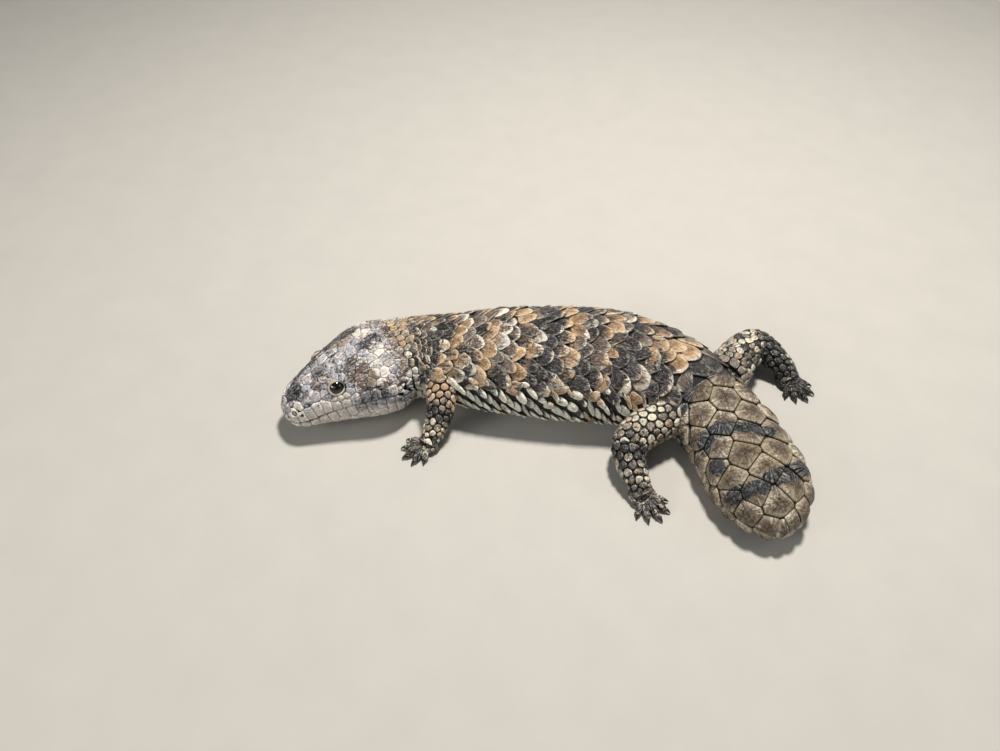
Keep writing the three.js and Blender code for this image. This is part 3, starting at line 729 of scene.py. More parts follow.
def lay_scales(coat, plate, point, marks, flat_of, places, style):
    """Bends a copy of the plate over the body at each place: along, round, half sizes of both, how
    far it stands, and how much its rear turns round the body. In the style, round makes the outline
    a disc, point narrows its rear, swept draws its sides forward and ragged waves it. Lift is the
    height of its front and rear, ramp how it rises between them, dome how its sides and rear drop,
    knob and keel are its relief, roll leans it to one side, and spread is how much scales differ in
    their markings. Ends paint shade on the front, which lies under the scale before, and paint the
    raised rear paler, as wear and as painted light."""
    shape, faces = plate
    across, along, under = (shape[:, axis][None] for axis in range(3))
    at, degrees, length, width, stands, turn = (places[:, column][:, None] for column in range(6))
    lots = np.random.default_rng(style["seed"]).random((len(places), 8))[:, :, None]
    disc = style["round"]
    x = across * (1 - disc + disc * np.sqrt(1 - along**2 / 2))
    y = along * (1 - disc + disc * np.sqrt(1 - across**2 / 2))
    x = x * (1 - style["point"] * smoothstep(-0.2, 1, y) ** 2) * (1 + 0.1 * (lots[:, 1] - 0.5))
    ragged = style.get("ragged", 0.07) * np.sin(5.1 * x + 9 * lots[:, 3]) * np.cos(4.3 * y + 9 * lots[:, 5])
    here = at + length * (y + ragged - style["swept"] * np.abs(x) ** 1.5 * (0.5 + 0.5 * y))
    round_ = degrees + width * (x + 0.8 * ragged * np.cos(7 * lots[:, 6])) + turn * y
    rise = (y + 1) / 2
    start, end = style["lift"]
    height = start + (end * (0.85 + 0.3 * lots[:, 2]) - start) * rise ** style["ramp"]
    height = height - style["dome"] * np.abs(x) ** 2.4 - style["dome"] * smoothstep(0.45, 1, y)
    free = np.clip(1 - np.abs(x) ** 3, 0, 1) * np.clip(1 - np.abs(y) ** 4, 0, 1) * rise
    knobs = np.sin(3.4 * x + 6.3 * lots[:, 3]) * np.cos(2.8 * y + 6.3 * lots[:, 4])
    knobs = knobs + 0.6 * np.cos(6.1 * x + 2 * y * (lots[:, 5] - 0.5) + 6.3 * lots[:, 6])
    height = height + style["knob"] * knobs * free + style["keel"] * np.exp(-((x / 0.3) ** 2)) * free
    height = height + style.get("roll", 0.0) * (lots[:, 7] - 0.5) * x * rise
    height = height * stands + under * style["thick"] * (0.6 + 0.4 * stands)
    places_3d = metres(point(here, round_, height))
    places_3d[..., 2] = np.maximum(places_3d[..., 2], 0.0001)
    seen = marks(here, round_)
    spread = style["spread"] * (lots[:, 5:8, 0] - 0.5)
    lot = np.broadcast_to(lots[:, 0], x.shape)
    # Ends: painted shade on each scale's front, and a paler rear that is partly wear, partly painted light.
    front, tip = style.get("ends", (0.0, 0.0))
    seen = seen + spread[:, None] + front * (1 - rise)[..., None] * [1, 0, 0]
    seen = seen + tip * smoothstep(0.1, 0.9, y)[..., None] * [-0.5, 0, 1]
    seen = np.concatenate([seen, lot[..., None]], -1)
    per_degree = np.linalg.norm(point(at, degrees + 1) - point(at, degrees - 1), axis=-1) / 2
    edge = np.maximum(np.abs(across), np.abs(along)) + 0 * x
    edge = np.maximum(edge, -under)
    grain = np.stack([length * (y + 1) + 0 * x, x * width * per_degree, edge], -1)
    patch = flat_of(at, degrees) + PATCH * (1 - 0.3 * under)[..., None] * np.stack(
        [along + 0 * x, across + 0 * x], -1
    )
    for number in range(len(places)):
        coat.add(places_3d[number], faces, seen[number], grain[number], patch[number])


# %% [markdown]
# ## Shingles on the back
# These make the animal: thick knobbly plates, each wider than long, lapping over the one behind in
# rings that lean forward down the sides. Even rows would look like roof tiles, so the rings follow
# the body's own arc lengths, every second ring is shifted by half a shingle, and a seeded draw varies
# each one's size, height and knobs.

# %% Rings of places along the trunk
def clear_of_legs(points):
    """Distance of points to the legs' roots, negative inside them."""
    nearest = np.full(points.shape[:-1], 1e9)
    for leg in LEGS:
        shares = np.linspace(0, 0.45, 10)
        path = curve_through(LEGS[leg]["joints"], even=False)(shares * 3)
        radii = radius_at(LEGS[leg]["radii"], shares * 3)
        for centre, radius in zip(path, radii):
            nearest = np.minimum(nearest, np.linalg.norm(points - centre, axis=-1) - radius)
    return nearest


def ring_places(start, end, pitch, wide, sector, overlap, seed, turn=0.0, wobble=0.06):
    """Places of scales in rings. Pitch and wide give their size at a distance from the nape, and
    sector the range of degrees that they cover."""
    rng = np.random.default_rng(seed)
    rows, distance, ring = [], start, 0
    while distance < end:
        step = float(pitch(distance))
        degrees = np.linspace(*sector, 121)
        arc = np.linalg.norm(np.diff(trunk_point(distance, degrees), axis=0), axis=1)
        arc = np.concatenate([[0], np.cumsum(arc)])
        count = max(2, round(arc[-1] / float(wide(distance))))
        shares = (np.arange(count + ring % 2) + 0.5 * (1 - ring % 2)) / count
        middles = np.interp(shares * arc[-1], arc, degrees)
        ends = np.interp(np.clip([shares - 0.5 / count, shares + 0.5 / count], 0, 1) * arc[-1], arc, degrees)
        widths = np.maximum(ends[1] - ends[0], 0.75 * (sector[1] - sector[0]) / count) / 2
        shear = LEAN * smoothstep(4, 30, distance) * (1 - smoothstep(146, 169, distance))
        for middle, half in zip(middles, widths):
            at = distance - shear * abs(middle) + step * (1 - overlap[0] / 2) + wobble * step * rng.normal()
            half = half * overlap[1] * (1 + 0.13 * rng.normal())
            swing = turn * np.sign(middle) * smoothstep(8, 40, abs(middle)) + 3 * rng.normal()
            length = step * overlap[0] / 2 * (1 + 0.1 * rng.normal())
            rows.append([max(at, 1.0), middle + 0.07 * half * rng.normal(), length, half, 1, swing])
        distance += step
        ring += 1
    rows = np.array(rows, float)
    off = clear_of_legs(trunk_point(rows[:, 0], rows[:, 1]))
    top = 1 - smoothstep(38, 52, np.abs(rows[:, 1]))
    rows[:, 4] = np.maximum(0.35 + 0.65 * smoothstep(0, 7, off), 0.95 * top)
    return rows[(off > -1.5) | (top > 0.5)]


nape_places = ring_places(
    start=7.5, end=19.5,
    pitch=lambda d: np.interp(d, [8, 21], [3.5, 4.8]),
    wide=lambda d: np.interp(d, [8, 21], [4.4, 6]),
    sector=(-60, 60), overlap=(1.6, 1.3), seed=3, turn=1.5, wobble=0.12,
)
back_places = ring_places(
    start=20, end=172,
    pitch=lambda d: np.interp(d, [20, 45, 115, 145, 169], [4.8, 6.3, 6.9, 7.8, 8.4]),
    wide=lambda d: np.interp(d, [20, 45, 115, 145, 169], [6.0, 8.4, 9.0, 10.6, 11.8]),
    sector=(-64, 64), overlap=(1.85, 1.36), seed=4, turn=2, wobble=0.17,
)
back_places = np.vstack([nape_places, back_places])
back_places[:, 4] *= np.interp(back_places[:, 0], [8, 21, 45, 140, 160, 172], [0.5, 0.7, 1, 1, 1.15, 1.3])
print("shingles on the back:", len(back_places))

# %% [markdown]
# ## Paint
# A dry scale is horn: matt, streaked along its growth, darker in patches and worn pale on its edges,
# with painted shade in its seams and whitish frost, part wear and part painted highlight, on its
# ridges. All the scales share one recipe. It starts from the markings stored on each vertex, breaks
# their edges up with streaks that run along the scale, and adds a fine grit. Each part of the animal
# then gets its own colours from it.

# %% A small helper for material nodes
class Paint:
    """One material whose nodes are added step by step."""

    def __init__(self, name):
        self.material = bpy.data.materials.new(name)
        self.material.use_nodes = True
        self.tree = self.material.node_tree
        self.shader = self.tree.nodes["Principled BSDF"]

    def feed(self, socket, value):
        if isinstance(value, bpy.types.NodeSocket):
            self.tree.links.new(value, socket)
        else:
            socket.default_value = value

    def node(self, kind, inputs, **settings):
        made = self.tree.nodes.new("ShaderNode" + kind)
        for name, value in settings.items():
            setattr(made, name, value)
        for name, value in inputs.items():
            self.feed(made.inputs[name], value)
        return made

    def math(self, operation, *values):
        return self.node("Math", dict(enumerate(values)), operation=operation).outputs[0]

    def plus(self, a, b):
        return self.math("ADD", a, b)

    def times(self, a, b):
        return self.math("MULTIPLY", a, b)

    def scaled(self, value, factor, more):
        return self.math("MULTIPLY_ADD", value, factor, more)

    def mix(self, share, a, b, blend="MIX"):
        return self.node("Mix", {0: share, 6: a, 7: b}, data_type="RGBA", blend_type=blend).outputs[2]

    def step(self, low, high, value):
        inputs = {"Value": value, "From Min": low, "From Max": high}
        return self.node("MapRange", inputs, interpolation_type="SMOOTHSTEP").outputs[0]

    def texture(self, vector, scale, detail, rough):
        inputs = {"Vector": vector, "Scale": scale, "Detail": detail, "Roughness": rough}
        return self.node("TexNoise", inputs).outputs

    def noise(self, vector, scale, detail=3.0, rough=0.55):
        return self.texture(vector, scale, detail, rough)[0]

    def three_noises(self, *settings):
        return self.node("SeparateColor", {0: self.texture(*settings)["Color"]}).outputs

    def attribute(self, name):
        return self.node("Attribute", {}, attribute_name=name).outputs

    def parts(self, vector):
        return self.node("SeparateXYZ", {0: vector}).outputs

    def bump(self, height, distance, normal=None):
        inputs = {"Height": height, "Distance": distance, "Strength": 1.0}
        if normal:
            inputs["Normal"] = normal
        return self.node("Bump", inputs).outputs[0]


def tone(text):
    """A linear colour from its usual six digits."""
    values = [int(text[i : i + 2], 16) / 255 for i in (0, 2, 4)]
    return [v / 12.92 if v < 0.04045 else ((v + 0.055) / 1.055) ** 2.4 for v in values] + [1]


# %% Horn: the recipe for every scale
# Near black for the seams between scales: their own dark colour, with painted shade where shade falls into
# them.
SEAM_SHADE = "0d0c0b"


def horn(name, plain, warm, pale, dark, rim, core, frost_and_glint, broken, gloss=0.5, relief=1.0):
    """Colours for plain, warm, pale and dark scales (two of each, mixed by lot), and for the rim, the
    core and the frost on ridges, a whitish wear with painted highlight (a colour and its strength).
    Broken is how much streaks, mottles and blotches break up the markings, and how soft their edges are."""
    paint = Paint(name)
    marks = paint.attribute("marks")
    split = paint.node("SeparateColor", {0: marks["Color"]}).outputs
    lot = marks["Alpha"]
    grain = paint.parts(paint.attribute("grain")["Vector"])
    place = paint.node("TexCoord", {}).outputs["Object"]

    def along_scale(fine):
        along = paint.scaled(grain[0], 0.17 * fine, paint.times(lot, 53.0))
        across = paint.scaled(grain[1], 0.95 * fine, paint.times(lot, 31.0))
        return paint.noise(paint.node("CombineXYZ", {0: along, 1: across, 2: lot}).outputs[0], 1.0, 4.0, 0.62)

    def centred(value, strength):
        return paint.scaled(value, strength, -0.5 * strength)

    streaks, ridges = along_scale(1.0), along_scale(2.3)
    blotches = paint.three_noises(place, 210.0, 3.0, 0.6)
    mottles = paint.three_noises(place, 640.0, 5.0, 0.65)
    mottle, grit = mottles[0], paint.noise(place, 2600.0, 3.0, 0.6)
    pits = paint.step(0.45, 0.33, paint.noise(place, 1300.0, 2.0, 0.6))
    streaked, mottled, blotched, soft = broken
    colour = paint.mix(lot, tone(plain[0]), tone(plain[1]))
    second = paint.step(0.3, 0.7, paint.math("FRACT", paint.times(lot, 7.0)))
    calm = paint.scaled(paint.step(0.6, 0.85, split[2]), -0.85, 1.0)
    for kind, (one, other) in ((2, pale), (1, warm), (0, dark)):
        torn = paint.plus(centred(streaks, streaked), centred(mottles[kind], mottled))
        torn = paint.plus(torn, centred(blotches[kind], blotched))
        if kind < 2:
            torn = paint.times(torn, calm)
        share = paint.step(0.49 - soft, 0.49 + soft, paint.plus(split[kind], torn))
        colour = paint.mix(share, colour, paint.mix(second, tone(one), tone(other)))
    light = paint.math("SUBTRACT", 1.0, paint.times(share, 0.6))
    inner = paint.step(0.75, 0.1, paint.plus(grain[2], centred(mottle, 1.2)))
    inner = paint.times(inner, paint.times(light, light))
    colour = paint.mix(paint.times(inner, core[1]), colour, tone(core[0]))
    outer = paint.step(0.62, 0.88, paint.plus(grain[2], centred(ridges, 1.3)))
    outer = paint.times(outer, light)
    colour = paint.mix(paint.times(outer, rim[1]), colour, tone(rim[0]))
    # Whitish frost on the ridges: partly wear, partly painted highlight.
    frost_and_glint_share = paint.times(paint.step(0.5, 0.68, ridges), paint.step(0.38, 0.62, mottle))
    colour = paint.mix(paint.times(frost_and_glint_share, frost_and_glint[1]), colour, tone(frost_and_glint[0]))
    worn = paint.plus(paint.scaled(streaks, 1.5, 0.3), centred(mottle, 1.6))
    worn = paint.times(paint.math("MINIMUM", worn, 1.25), paint.scaled(grit, 0.6, 0.7))
    worn = paint.times(worn, paint.scaled(pits, -0.5, 1.05))
    shade = paint.node("CombineColor", {0: worn, 1: worn, 2: worn}).outputs[0]
    dirt = paint.scaled(split[2], -0.4, 0.85)
    colour = paint.mix(dirt, colour, shade, "MULTIPLY")
    # The outer rim and the wall of every plate are painted near black: the dark seam, with painted shade in
    # it.
    seam_shade = paint.times(paint.step(0.9, 1.0, grain[2]), 0.85)
    paint.feed(paint.shader.inputs["Base Color"], paint.mix(seam_shade, colour, tone(SEAM_SHADE)))
    paint.feed(paint.shader.inputs["Roughness"], paint.scaled(mottle, 0.45, gloss - 0.22))
    rough = paint.bump(paint.scaled(ridges, 0.5, streaks), 0.0006 * relief)
    rough = paint.bump(mottle, 0.0004 * relief, rough)
    paint.feed(paint.shader.inputs["Normal"], paint.bump(grit, 0.00008 * relief, rough))
    paint.shader.inputs["IOR"].default_value = 1.42
    return paint.material


back_paint = horn(
    "back_horn", plain=("6a6158", "3d3a36"), warm=("a28158", "c0a07a"), pale=("eae1ce", "c3c1b6"),
    dark=("0b0c0e", "16181c"), rim=("e8dcc6", 0.5), core=("5c3c26", 0.65), frost_and_glint=("dcdde0", 0.45),
    broken=(1.2, 1.7, 1.3, 0.1), gloss=0.32, relief=1.8,
)
flank_paint = horn(
    "flank_horn", plain=("989181", "66614f"), warm=("a87f5a", "c09a73"), pale=("f2efe0", "d0d4c8"),
    dark=("17181a", "242527"), rim=("f5f2e4", 0.55), core=("857a60", 0.4), frost_and_glint=("f2f0e8", 0.5),
    broken=(0.6, 1.4, 0.8, 0.1), gloss=0.3, relief=1.1,
)
tail_paint = horn(
    "tail_horn", plain=("8f806a", "776a58"), warm=("7c6046", "937c60"), pale=("aea28c", "c9c1ae"),
    dark=("11151c", "1f262f"), rim=("c6bba2", 0.45), core=("3d2a1b", 0.8), frost_and_glint=("d8d5cc", 0.55),
    broken=(0.9, 1.6, 1.0, 0.09), gloss=0.28, relief=1.6,
)
head_paint = horn(
    "head_horn", plain=("c8c8cd", "93939c"), warm=("6a5242", "9c8672"), pale=("f5ece0", "e6dfd3"),
    dark=("1a1b1e", "303137"), rim=("ddd6cf", 0.3), core=("5a504d", 0.25), frost_and_glint=("f6f6f8", 0.7),
    broken=(0.5, 2.7, 1.3, 0.11), gloss=0.24, relief=2.0,
)
leg_paint = horn(
    "leg_horn", plain=("8a8178", "5c5853"), warm=("a68669", "bfa286"), pale=("e4dac2", "cac7b6"),
    dark=("131417", "22252b"), rim=("e4d8bd", 0.45), core=("6b573f", 0.4), frost_and_glint=("dcdcda", 0.5),
    broken=(0.5, 1.8, 1.0, 0.1), gloss=0.3, relief=1.1,
)
print("paints:", [material.name for material in bpy.data.materials if "horn" in material.name])

# %% The back
def on_map(at, degrees):
    return map_place("trunk", at, degrees)


back = Coat()
lay_scales(
    back, plain_plate, trunk_point, trunk_marks, on_map, back_places,
    dict(seed=11, round=0.4, point=0.5, swept=0.28, lift=(-1.5, 1.45), ramp=0.85, dome=0.85, thick=1.1,
         knob=0.45, keel=0.45, spread=1.05, ragged=0.12, roll=1.0, ends=(0.4, 0.3)),
)
back.made("back_shingles", back_paint, level=1)

# %% [markdown]
# ## Beads on the flanks and small scales under the belly
# Down the sides the shingles give way to rows of oval beads with black skin between them, and under
# the belly to small flat tiles. They are the same plate, bent with other sizes: rounder, lower and
# hardly overlapping.

# %% Flanks and belly
flank = Coat()
for side in (-1, 1):
    flank_places = ring_places(
        start=20, end=170,
        pitch=lambda d: np.interp(d, [18, 45, 169], [4.6, 5.4, 5.7]),
        wide=lambda d: np.interp(d, [18, 45, 169], [5.8, 7.2, 7.3]),
        sector=(side * 60, side * 128), overlap=(1.22, 1.04), seed=20 + side, turn=3.5, wobble=0.08,
    )
    lay_scales(
        flank, small_plate, trunk_point, trunk_marks, on_map, flank_places,
        dict(seed=30 + side, round=0.6, point=0.35, swept=0.15, lift=(-0.7, 1.5), ramp=0.9, dome=0.9,
             thick=1.5, knob=0.12, keel=0.4, spread=0.8, ends=(0.3, 0.35)),
    )
flank.made("flank_beads", flank_paint, level=1)

belly = Coat()
belly_places = ring_places(
    start=20, end=170, pitch=lambda d: 6.8, wide=lambda d: 7.4,
    sector=(124, 236), overlap=(1.25, 1.0), seed=8,
)
belly_places[:, 1] = (belly_places[:, 1] + 180) % 360 - 180


def belly_marks(distance, degrees):
    marks = trunk_marks(distance, degrees)
    return marks * [0.7, 0.3, 0.4] + [0, 0, 0.45]


lay_scales(
    belly, small_plate, trunk_point, belly_marks, on_map, belly_places,
    dict(seed=9, round=0.7, point=0.1, swept=0.1, lift=(-0.9, 0.35), ramp=1.0, dome=0.5, thick=0.9,
         knob=0.0, keel=0.0, spread=0.5),
)
belly.made("belly_tiles", flank_paint)


# %% [markdown]
# ## Shields on the head
# The head's shields fit together like paving: each is a flat many-sided plate, and all the seams are
# equally thin. Paving like this comes from seeds: each point of the head belongs to its nearest seed.
# So seeds are spread evenly over one half of the head and mirrored, with rows of them listed
# where a real head has rows: the lips, the ring round the eye, the midline. A round plate is then cut
# by a plane half way to each neighbour, and what is left is the shield.

# %% Spread seeds evenly
NO_SEEDS = np.empty((0, 2))


def nowhere(points):
    return np.zeros(len(points), bool)


TRIES, EVENINGS = 14000, 4  # places drawn, and how often each free seed moves to its cell's middle


def scatter(point, along, around, spacing, seed, fixed=NO_SEEDS, rejected=nowhere):
    """Seeds (along, degrees) set evenly on a surface, away from the fixed ones."""
    rng = np.random.default_rng(seed)
    spots = np.stack([rng.uniform(*along, TRIES), rng.uniform(*around, TRIES)], 1)
    step = (along[1] - along[0]) * 1e-3
    here = point(spots[:, 0], spots[:, 1])
    side = point(spots[:, 0], spots[:, 1] + 1) - here
    ahead = (point(spots[:, 0] + step, spots[:, 1]) - here) / step
    area = np.linalg.norm(np.cross(side, ahead), axis=1)
    kept = rng.random(len(spots)) * np.quantile(area, 0.98) < area
    kept &= ~rejected(here)
    spots, here = spots[kept], here[kept]
    chosen = list(point(fixed[:, 0], fixed[:, 1])) if len(fixed) else []
    free = []
    for number in range(len(spots)):
        gap = float(spacing(*spots[number]))
        if not chosen or np.min(np.linalg.norm(np.array(chosen) - here[number], axis=1)) > gap * 0.86:
            chosen.append(here[number])
            free.append(number)
    free = np.array(free)
    for _ in range(EVENINGS):
        seeds = np.array(chosen)
        owner = np.argmin(((here[:, None] - seeds[None]) ** 2).sum(-1), 1)
        for slot, number in enumerate(free):
            mine = here[owner == len(fixed) + slot]
            if len(mine):
                free[slot] = np.argmin(((here - mine.mean(0)) ** 2).sum(1))
                chosen[len(fixed) + slot] = here[free[slot]]
    return np.vstack([fixed, spots[free]]) if len(fixed) else spots[free]


# %% Cut one shield
def surface_of(point, along, around, shares=(0, 1)):
    """The plain surface of a part, to set plates on: a tree of its faces, in millimetres."""
    sheet = bmesh.new()
    made = bmesh.ops.create_grid(sheet, x_segments=along, y_segments=around, size=1)["verts"]
    flat = (np.array([vertex.co[:2] for vertex in made]) + 1) / 2
    places = point(shares[0] + (shares[1] - shares[0]) * flat[:, 0], 360 * flat[:, 1] - 180)
    for vertex, place in zip(made, places):
        vertex.co = place
    bmesh.ops.remove_doubles(sheet, verts=sheet.verts, dist=1e-3)
    bmesh.ops.recalc_face_normals(sheet, faces=sheet.faces)
    tree = BVHTree.FromBMesh(sheet)
    sheet.free()
    return tree


def cut_cell(cuts, radius, rings_of, finer):
    """A closed plate in its own plane. Cuts are (x, y, gap) of the lines that end it, and rings_of
    gives, for a size, the levels from its rim to its middle and how deep its wall is sunk. A level is
    (distance in from the rim, or minus a radius; height; edge value; shift of its middle if any)."""
    cell = bmesh.new()
    bmesh.ops.create_circle(cell, cap_ends=True, segments=9, radius=radius)
    for x, y, gap in cuts:
        reach = math.hypot(x, y)
        share = max(reach - gap, 0.2) / reach
        bmesh.ops.bisect_plane(
            cell, geom=[*cell.verts, *cell.edges, *cell.faces], dist=1e-4,
            plane_co=(x * share, y * share, 0), plane_no=(x, y, 0), clear_outer=True,
        )
    bmesh.ops.remove_doubles(cell, verts=cell.verts, dist=0.35)
    if not cell.faces or len(cell.verts) < 3:
        return None
    if finer:
        bmesh.ops.subdivide_edges(cell, edges=cell.edges, cuts=finer)
    top = next(iter(cell.faces))
    if top.normal.z < 0:
        top.normal_flip()
    rim = list(top.edges)
    edge_of = {}
    middle = top.calc_center_median()
    size = sum((vertex.co - middle).length for vertex in top.verts) / len(top.verts)
    rings, sunk = rings_of(size)
    for number, (inward, height, edge, *shift) in enumerate(rings):
        if number:
            bmesh.ops.inset_individual(cell, faces=[top], thickness=0.0005, use_even_offset=False)
            share = -inward / size if inward < 0 else max(size - inward, 0.15 * size) / size
            for vertex, start in zip(top.verts, outline):
                vertex.co = middle + (start - middle) * share + Vector((*shift, 0, 0, 0)[:3])
        else:
            outline = [vertex.co.copy() for vertex in top.verts]
        for vertex in top.verts:
            vertex.co.z = height
            edge_of[vertex] = edge
    centre = bmesh.ops.poke(cell, faces=[top])["verts"]
    for vertex in centre:
        vertex.co.z, edge_of[vertex] = rings[-1][1], rings[-1][2] * 0.6
    wall = bmesh.ops.extrude_edge_only(cell, edges=rim)["geom"]
    for vertex in wall:
        if isinstance(vertex, bmesh.types.BMVert):
            vertex.co.z, edge_of[vertex] = sunk, 1.0
    bmesh.ops.contextual_create(cell, geom=[edge for edge in cell.edges if edge.is_boundary])
    cell.verts.index_update()
    points = np.array([vertex.co for vertex in cell.verts])
    faces = [[vertex.index for vertex in face.verts] for face in cell.faces]
    edge = np.array([edge_of.get(vertex, 1.0) for vertex in cell.verts])
    cell.free()
    return points, faces, edge, size


NEIGHBOURS = 14  # that may bound a plate
WALL_TOP = -0.8  # points below this height are in the skin and stay where they are


def pave(coat, tree, seeds, ahead_of, marks_of, flat_of, rings_of, style, limits=(), skip=()):
    """Cuts a plate round each seed (a point in millimetres) and lays it on the surface, so that it
    keeps its distances there. The seeds to skip only bound the others, and limits are lines that no
    plate crosses. In the style, gap is the seam between two plates, reach the distance of the
    furthest neighbour that counts, finer the cuts in each edge, tilt how far the rear is raised,
    spread how much plates differ, and fan makes the horn's streaks run out from the middle."""
    seeds = np.array(seeds)
    lots = np.random.default_rng(style["seed"]).random((len(seeds), 6))
    flats = flat_of(seeds)
    skip = set(skip)
    for number, centre in enumerate(seeds):
        if number in skip:
            continue
        _, normal, _, _ = tree.find_nearest(Vector(centre))
        up, ahead = np.array(normal), ahead_of(centre)
        ahead = ahead - up * (ahead @ up)
        ahead /= np.linalg.norm(ahead)
        side = np.cross(up, ahead)
        offsets = seeds - centre
        near = np.linalg.norm(offsets, axis=1)
        closest = [k for k in np.argsort(near)[1 : NEIGHBOURS + 1] if near[k] < style["reach"]]
        lines = [(offsets[k], 2, style["gap"] / 2) for k in closest]
        for line, line_gap in limits:
            away = line - centre
            reaches = np.linalg.norm(away, axis=1)
            least = int(np.argmin(reaches))
            if 0.3 < reaches[least] < style["reach"] / 2:
                lines.append((away[least], 1, line_gap))
        cuts = []
        for away, parts, gap in lines:
            flat = np.array([away @ ahead, away @ side])
            flat *= np.linalg.norm(away) / max(np.linalg.norm(flat), 1e-3) / parts
            cuts.append((*flat, gap))
        radius, finer = style["reach"] * 0.62, style.get("finer", 0)
        cell = cut_cell(cuts, radius, lambda size: rings_of(centre, size), finer)
        if cell is None:
            continue
        points, faces, edge, size = cell
        laid = np.empty_like(points)
        for k, (x, y, height) in enumerate(points):
            reach = math.hypot(x, y)
            place = centre + x * ahead + y * side
            if reach > 1:
                away = np.array(tree.find_nearest(Vector(place))[0]) - centre
                place = centre + away * reach / max(np.linalg.norm(away), 0.1)
            spot_on, facing, _, _ = tree.find_nearest(Vector(place))
            if height > WALL_TOP:
                height += style.get("tilt", 0) * x / size * (0.7 + 0.6 * lots[number, 5])
            laid[k] = np.array(spot_on) + np.array(facing) * height
        laid[:, 2] = np.maximum(laid[:, 2], 0.1)
        seen = marks_of(laid) + style["spread"] * (lots[number, 1:4] - 0.5)
        seen = np.column_stack([seen, np.full(len(seen), lots[number, 0])])
        if style.get("fan"):
            turn = np.arctan2(points[:, 1], points[:, 0])
            grain = np.column_stack([np.cos(turn) * 24, np.sin(turn) * 4.3, edge])
        else:
            grain = np.column_stack([points[:, 0] + 20 * lots[number, 4], points[:, 1], edge])
        patch = flats[number] + PATCH * points[:, :2] / max(size, 1)
        coat.add(metres(laid), faces, seen, grain, patch)


# %% Where the eye, ear and nostrils open
EYE_AHEAD, EYE_UP = 0.15, 0.66  # how far an eye looks forward and up for 1 to the side


def look_of(side):
    """The way an eye looks and its long direction, in the head's frame."""
    looks = Vector((EYE_AHEAD, side, EYE_UP)).normalized()
    turn = Vector((0, 1, 0)).rotation_difference(looks)
    return np.array(looks), np.array(turn @ Vector((1, 0, 0)))


def ring_round(centre, first, second, sizes, count=48):
    angles = np.linspace(0, 2 * math.pi, count, endpoint=False)[:, None]
    return centre + np.cos(angles) * first * sizes[0] + np.sin(angles) * second * sizes[1]


head_tree = surface_of(head_point, 120, 120, (-6, HEAD_LENGTH - 0.02))
side_way = np.append(head_left, 0)
forward_way = np.append(head_ahead, 0)
UPWARD = np.array([0, 0, 1])
frame_turn = np.array([forward_way, side_way, UPWARD])


def on_surface(points):
    return np.array([head_tree.find_nearest(Vector(point))[0] for point in points])


looks, long_way = look_of(1)
eye_middle = on_surface([from_head(eye_centre(1) + 5 * looks)])[0]
looks_out, long_out = looks @ frame_turn, long_way @ frame_turn
tall_out = np.cross(looks_out, long_out)
eye_edge = on_surface(ring_round(eye_middle, long_out, tall_out, (4.25, 3.75)))
EAR, NOSTRIL = (6, 74), (63.2, 50)
ear_middle = head_point(*EAR)
ear_edge = on_surface(ring_round(ear_middle, forward_way, UPWARD, (1.1, 2.2)))
nose_edge = on_surface(ring_round(head_point(*NOSTRIL), forward_way, UPWARD, (3.6, 3.5)))
print("eye opens at", np.round(on_head(np.array([eye_middle])), 1).ravel(), "forward and degrees")

# %% Seeds of the left half of the head, in rows and between them
def row(forwards, degrees):
    return [(forward, degree) for forward, degree in zip(forwards, np.broadcast_to(degrees, len(forwards)))]


upper_lip = np.array([63.6, 59.6, 55.4, 51, 46.5, 41.8, 37, 32, 27, 22, 17, 12, 7.5])
lower_lip = np.array([63.4, 58.8, 54, 49.2, 44.4, 39.6, 34.8, 30, 25.2, 20.4, 15.6, 10.8, 6])
forwards, tops = np.arange(2, 66.5, 0.5), np.arange(37, 59)
lip_top = np.interp(tops, [37, 41, 46, 53, 58], [60, 57, 52, 49, 54])
# Given one by one: the snout, the midline, the lips, a ring round the eye and one round the ear.
half_way_up = (lip_line(upper_lip) + np.interp(upper_lip, tops, lip_top)) / 2
fixed = row([66.4], [0]) + row([65, 66], [38, 66])
fixed += row([61.6, 56, 50, 43.6, 37, 30.6, 24.4, 18.4, 12.6, 7, 2], 0)
fixed += row(upper_lip, np.where(upper_lip > 37.5, half_way_up, lip_line(upper_lip) - 9))
fixed += row(lower_lip, lip_line(lower_lip) + 8)
eye_ring = on_surface(ring_round(eye_middle, long_out, tall_out, (6.3, 5.8), 12))
fixed += [tuple(place) for place in np.stack(on_head(eye_ring), 1)]
ear_ring = ring_round(ear_middle, forward_way, UPWARD, (2.9, 4.0), 8)
fixed += [tuple(place) for place in np.stack(on_head(on_surface(ear_ring)), 1)]
# The eye, the ear and the nostril hold places that no shield fills.
fixed += [tuple(np.stack(on_head(np.array([eye_middle])), 1)[0]), EAR, NOSTRIL]
fixed = np.array(fixed, float)
skipped = len(fixed) - 3, len(fixed) - 2, len(fixed) - 1


# Lines on the left half that no shield crosses, with half the seam along each.
lines = [
    (head_point(forwards, lip_line(forwards)), 0.22),
    (eye_edge, 0.12),
    (ear_edge, 0.1),
    (nose_edge, 0.05),
]


def near_lines(points):
    """True for points too close to a row that is listed."""
    off = np.linalg.norm(points - eye_middle, axis=1) < 7.4
    off |= np.linalg.norm(points - head_point(*NOSTRIL), axis=1) < 5.0
    off |= np.linalg.norm(points - ear_middle, axis=1) < 6.4
    for line in (lines[0][0], head_point(tops, lip_top)):
        off |= np.min(np.linalg.norm(points[:, None] - line[None], axis=-1), 1) < 2.8
    forward, degrees = on_head(points)
    return off | ((degrees < 7) & (forward < 64))


